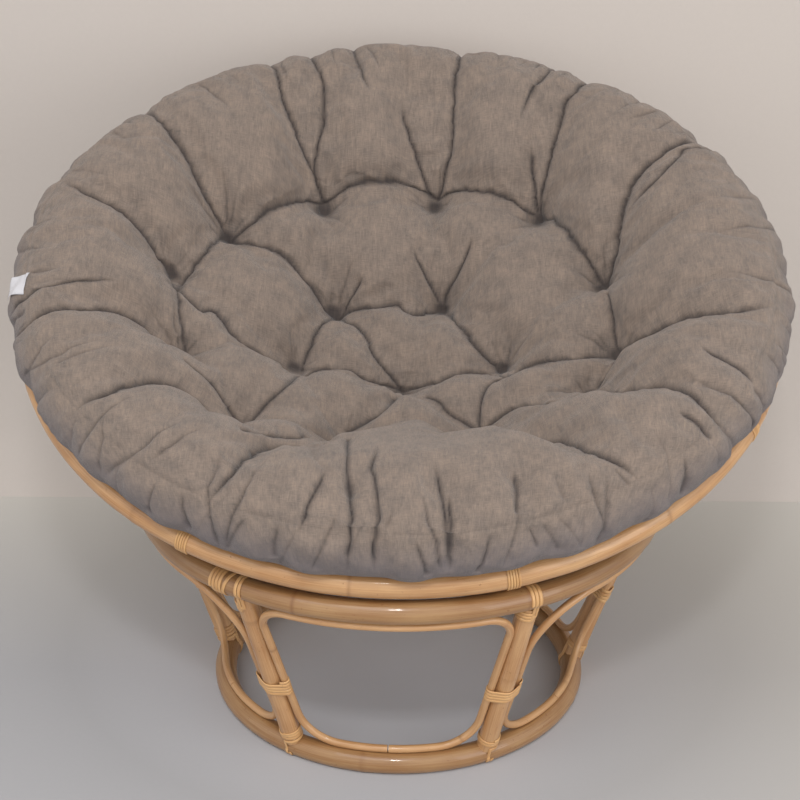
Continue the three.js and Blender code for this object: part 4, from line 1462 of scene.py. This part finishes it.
def edge_spot(tree, size, cane, angle, share, above, below):
    """A place on the cloth in from the seam (share below 0) or down from it (above 0)."""
    stand_off, higher, inside = 0.10, 0.002, 0.01
    up, down = max(-share, 0), max(share, 0)
    height = size.seam_height - ring_drop(cane, cane.rim) - below * down - sunk(size, angle)
    start = around(
        angle, size.seam_radius + stand_off * (1 - up) - above * up * up,
        height + stand_off * (1 - down) + higher,
    )
    aim_at = around(angle, size.seam_radius - above * up - inside, height)
    a, b = Vector(from_bowl(start)), Vector(from_bowl(aim_at))
    place, _, _, _ = tree.ray_cast(a, (b - a).normalized())
    return None if place is None else np.array(place)


def seam_line(tree, size, cane):
    """The stitched seam round the edge, as a line on the cloth."""
    wander, waves, width = 0.02, 9, 0.05
    spots = found(
        edge_spot(
            tree, size, cane, angle, wander * math.sin(math.radians(angle * waves)), width, width
        )
        for angle in np.linspace(-180, 180, SEAM_STATIONS)
    )
    return resampled(np.array(spots), LINE_STEP)


def tree_of(mesh):
    return BVHTree.FromPolygons(
        [v.co for v in mesh.vertices], [tuple(f.vertices) for f in mesh.polygons]
    )


def refined_along(mesh, lines):
    """Halves the mesh near the lines, for crisp folds."""
    close = close_to(corners_of(mesh), lines, *FINE_REACH)
    work = bmesh.new()
    work.from_mesh(mesh)
    work.verts.ensure_lookup_table()
    edges = [e for e in work.edges if close[e.verts[0].index] and close[e.verts[1].index]]
    bmesh.ops.subdivide_edges(work, edges=edges, cuts=1, use_grid_fill=True)
    work.to_mesh(mesh)
    work.free()
    mesh.update()


def folded(form, size, cane):
    """Presses the folds, gathers and the seam into the cloth, and marks painted shade along the
    creases and in the tufts.
    """
    rim_inside, side_start, side_span = 0.5, 0.010, 0.014
    level, under, top = -0.3, -0.5, -0.2
    mesh = form.data
    tree = tree_of(mesh)
    rng = np.random.default_rng(11)
    folds = photographed_folds(tree, size, cane)
    folds += tuft_gathers(tree, cane, rng) + seam_puckers(tree, size, cane, rng)
    folds.append(Fold(seam_line(tree, size, cane), *SEAM_FOLD))
    refined_along(mesh, [fold.line for fold in folds])
    places = corners_of(mesh)
    facing = facing_of(mesh)
    total = np.zeros(len(places))
    crease_shade = np.zeros(len(places))
    for fold in folds:
        near, pressed, sharp = pressed_along(places, fold)
        total[near] += pressed ** 3
        crease_shade[near] = np.maximum(crease_shade[near], sharp * min(1.0, fold.depth / FULLY_SHADED_FOLD))
    local, reach, height = about_bowl(places, cane)
    upward = facing @ bowl_way((0, 0, 1.0))
    side = ramp(height, side_start, side_span)
    shown = np.where((reach < rim_inside) & (upward > level), 1.0, side)
    shown = np.where(upward < under, 0.0, shown)
    places -= facing * (np.cbrt(total) * shown)[:, None]
    mesh.vertices.foreach_set("co", places.ravel())
    # Painted shade in the tuft dimples and along sharp creases, kept in the fold mark.
    tuft_shade = np.where(upward > top, np.exp(-((nearest_tuft(local) / TUFT_HOLD) ** 2)), 0)
    marked(mesh, "fold", np.maximum(crease_shade * shown, tuft_shade))
    mark_cloth(mesh, size, local, reach, height)
    mesh.update()


def mark_cloth(mesh, size, local, reach, height):
    """Marks the strip below the seam for painted shade, and where the threads lie."""
    shade_band_height, shade_band_reach = 0.035, 0.47
    turn = np.arctan2(local[:, 0], -local[:, 1])
    level = size.seam_height - sunk(size, np.degrees(turn))
    marked(mesh, "band", ramp(level - height, 0, shade_band_height) * (reach > shade_band_reach))
    over = reach + np.where(reach > size.crown_radius, np.abs(height - size.crown_height), 0)
    marked(mesh, "weave", np.stack([over * np.sin(turn), -over * np.cos(turn), 0 * over], 1))


def halved(form):
    """One subdivision that rounds the mesh."""
    finer = form.modifiers.new("finer", "SUBSURF")
    finer.levels = 1
    finer.render_levels = 1
    applied(form)


class PAPASAN_OT_cushion(bpy.types.Operator):
    """Makes the tufted cushion"""

    bl_idname = "papasan.cushion"
    bl_label = "Cushion"

    def execute(self, context):
        size, cane = context.scene.papasan_cushion, context.scene.papasan_cane
        form = cushion_form(size, cane)
        if len(form.data.vertices) < FEWEST_POINTS:
            raise RuntimeError("The cushion's form has too few points")
        stuffed(form, size, cane)
        halved(form)
        folded(form, size, cane)
        form.data.shade_smooth()
        dress(form, "cushion_weave", "cushion", "cushion")
        return {"FINISHED"}


# Care tag

def tag_directions():
    """Across the tag, down it and out of it."""
    inward, outward = -0.62, 0.78
    out = unit(bowl_way(around(TAG_ANGLE, 1.0, 0.0)))
    opening = unit(bowl_way((0, 0, 1.0)))
    down = unit(inward * opening + outward * out)
    across = unit(np.cross(down, out))
    lean, side = math.cos(TAG_LEAN), math.sin(TAG_LEAN)
    down, across = lean * down + side * across, lean * across - side * down
    face = unit(np.cross(across, down))
    return across, down, face if face @ out > 0 else -face


def tag_middle():
    """Where the tag's middle is, a little in from its place in the CAD."""
    low, high = (np.array(corner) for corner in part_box("care_tag"))
    out = unit(bowl_way(around(TAG_ANGLE, 1.0, 0.0)))
    opening = unit(bowl_way((0, 0, 1.0)))
    back = unit(from_bowl(around(TAG_ANGLE - 1, 1.0, 0.0)) - from_bowl(around(TAG_ANGLE, 1.0, 0.0)))
    return (low + high) / 2 - 0.007 * out + 0.005 * opening - 0.006 * back


class PAPASAN_OT_tag(bpy.types.Operator):
    """Makes the blank care tag"""

    bl_idname = "papasan.tag"
    bl_label = "Care tag"

    def execute(self, context):
        middle = tag_middle()
        across, down, face = tag_directions()
        width, tall = TAG_SIZE
        tree = tree_of(context.scene.objects["cushion_pad"].data)
        points, weave = [], []
        for v in np.arange(TAG_STEPS + 1) / TAG_STEPS:
            for u in np.arange(TAG_STEPS + 1) / TAG_STEPS - 0.5:
                lift = 0.0012 + 0.0040 * v * v + 0.0010 * math.sin(2.2 * u + 5 * v) * v
                spot = middle + across * u * width + down * (v - 0.5) * tall
                place, _, _, _ = tree.ray_cast(Vector(spot + face * 0.05), Vector(-face), 0.09)
                spot = spot if place is None else np.array(place)
                points.append(spot + face * lift)
                weave.append((u * width, v * tall, 0))
        corners = (
            row * (TAG_STEPS + 1) + column
            for row in range(TAG_STEPS) for column in range(TAG_STEPS)
        )
        faces = [[a, a + 1, a + TAG_STEPS + 2, a + TAG_STEPS + 1] for a in corners]
        tag = new_mesh("care_tag_cloth", points, faces, {"weave": weave})
        thick = tag.modifiers.new("thick", "SOLIDIFY")
        thick.thickness = TAG_THICKNESS
        thick.offset = 0
        applied(tag)
        dress(tag, "care_tag_weave", "cushion", "care_tag")
        return {"FINISHED"}


# Stage

def paint(thing, name, value, roughness):
    """Plain paint with a fine mottle. Returns its nodes, its place and its colour."""
    material, tree, shader = new_material(name)
    place = node(tree, "TexCoord").outputs["Object"]
    low = (*(part * 0.965 for part in value[:3]), 1.0)
    mottle = mixed(tree, noise(tree, place, 160.0, 2.0), low, tuple(value))
    shader.inputs["Roughness"].default_value = roughness
    thing.data.materials.append(material)
    return tree, shader, place, mottle


def lay_floor(stage):
    """The floor, with painted light: paler where the bowl shades it, at the lit side and beside the
    wall.
    """
    r = STAGE_REACH
    floor = new_mesh("floor", [(-r, -r, 0), (r, -r, 0), (r, r, 0), (-r, r, 0)], [[0, 1, 2, 3]])
    tree, shader, place, shown = paint(floor, "floor_paint", stage.floor, 0.75)
    away = node(tree, "VectorMath", {0: place, 1: (0.0, 0.02, 0.0)}, operation="DISTANCE")
    spot = node(tree, "SeparateXYZ", {0: place}).outputs
    # Painted light: the floor turns paler under the bowl, towards +X and towards the wall.
    shown = mixed(
        tree, spanned(tree, away.outputs["Value"], 0.10, 0.52, 0.9, 0.0), shown, stage.floor_painted_light_under
    )
    shown = mixed(tree, spanned(tree, spot["X"], 0.15, 0.85), shown, stage.floor_painted_light_side)
    shown = mixed(tree, spanned(tree, spot["Y"], -0.12, 0.46), shown, stage.floor_painted_light_back)
    feed(tree, shader, {"Base Color": shown})


def raise_wall(stage):
    """The wall, which a camera behind it sees through."""
    points = [
        (x, stage.wall_line + y, z) for y, z in WALL_RISE for x in (-STAGE_REACH, STAGE_REACH)
    ]
    faces = [[2 * i, 2 * i + 1, 2 * i + 3, 2 * i + 2] for i in range(len(WALL_RISE) - 1)]
    wall = new_mesh("wall", points, faces)
    tree, shader, _, shown = paint(wall, "wall_paint", stage.wall, 0.9)
    feed(tree, shader, {"Base Color": shown})
    behind = node(tree, "NewGeometry").outputs["Backfacing"]
    seen = node(tree, "LightPath").outputs["Is Camera Ray"]
    clear = node(tree, "BsdfTransparent").outputs[0]
    hidden = maths(tree, "MULTIPLY", behind, seen)
    either = node(tree, "MixShader", {0: hidden, 1: shader.outputs[0], 2: clear})
    feed(tree, tree.nodes["Material Output"], {"Surface": either.outputs[0]})


def hang_lamps(scene, stage):
    for title, place, target, size in LAMPS:
        name = f"{title}_lamp"
        lamp = bpy.data.lights.new(name, "AREA")
        lamp.energy = getattr(stage, f"{title}_power")
        lamp.size = size
        holder = bpy.data.objects.new(name, lamp)
        holder.location = place
        aim = Vector(target) - Vector(place)
        holder.rotation_euler = aim.to_track_quat("-Z", "Y").to_euler()
        scene.collection.objects.link(holder)
    world = bpy.data.worlds.new("studio")
    world.use_nodes = True
    feed(world.node_tree, world.node_tree.nodes["Background"], {0: SKY_TINT, 1: stage.sky})
    scene.world = world


def place_camera(scene):
    lens = bpy.data.cameras.new("photo_camera")
    lens.sensor_width = SENSOR_WIDTH
    lens.lens = FOCAL_PIXELS / FRAME_PIXELS * SENSOR_WIDTH
    lens.shift_x = (FRAME_PIXELS / 2 - CENTRE_PIXEL[0]) / FRAME_PIXELS
    lens.shift_y = (CENTRE_PIXEL[1] - FRAME_PIXELS / 2) / FRAME_PIXELS
    camera = bpy.data.objects.new("photo_camera", lens)
    camera.matrix_world = camera_matrix()
    scene.collection.objects.link(camera)
    scene.camera = camera


class PAPASAN_OT_stage(bpy.types.Operator):
    """Sets the floor, the wall, the lamps and the camera"""

    bl_idname = "papasan.stage"
    bl_label = "Stage"

    def execute(self, context):
        scene = context.scene
        lay_floor(scene.papasan_stage)
        raise_wall(scene.papasan_stage)
        hang_lamps(scene, scene.papasan_stage)
        place_camera(scene)
        scene.view_settings.view_transform = "Standard"
        return {"FINISHED"}


class PAPASAN_PT_chair(bpy.types.Panel):
    """Lists the pieces of the chair"""

    bl_label = "Papasan chair"
    bl_idname = "PAPASAN_PT_chair"
    bl_space_type = "VIEW_3D"
    bl_region_type = "UI"
    bl_category = "Papasan"

    def draw(self, context):
        for operator in OPERATORS:
            self.layout.operator(operator.bl_idname)
        for title, _ in GROUPS:
            group = getattr(context.scene, title)
            box = self.layout.box()
            for name in group.__annotations__:
                box.prop(group, name)


OPERATORS = (
    PAPASAN_OT_stage,
    PAPASAN_OT_rings,
    PAPASAN_OT_posts,
    PAPASAN_OT_loops,
    PAPASAN_OT_windings,
    PAPASAN_OT_bowl,
    PAPASAN_OT_bowl_windings,
    PAPASAN_OT_cushion,
    PAPASAN_OT_tag,
)
GROUPS = (
    ("papasan_cane", CaneSizes),
    ("papasan_peel", PeelSizes),
    ("papasan_cushion", CushionSizes),
    ("papasan_finish", Finishes),
    ("papasan_stage", StageSettings),
)


def register():
    for title, group in GROUPS:
        bpy.utils.register_class(group)
        setattr(bpy.types.Scene, title, bpy.props.PointerProperty(type=group))
    for kind in (*OPERATORS, PAPASAN_PT_chair):
        bpy.utils.register_class(kind)


def unregister():
    for kind in (PAPASAN_PT_chair, *reversed(OPERATORS)):
        bpy.utils.unregister_class(kind)
    for title, group in reversed(GROUPS):
        delattr(bpy.types.Scene, title)
        bpy.utils.unregister_class(group)


def main():
    register()
    for operator in OPERATORS:
        name = operator.bl_idname.split(".")[1]
        getattr(bpy.ops.papasan, name)()


if __name__ == "__main__":
    main()
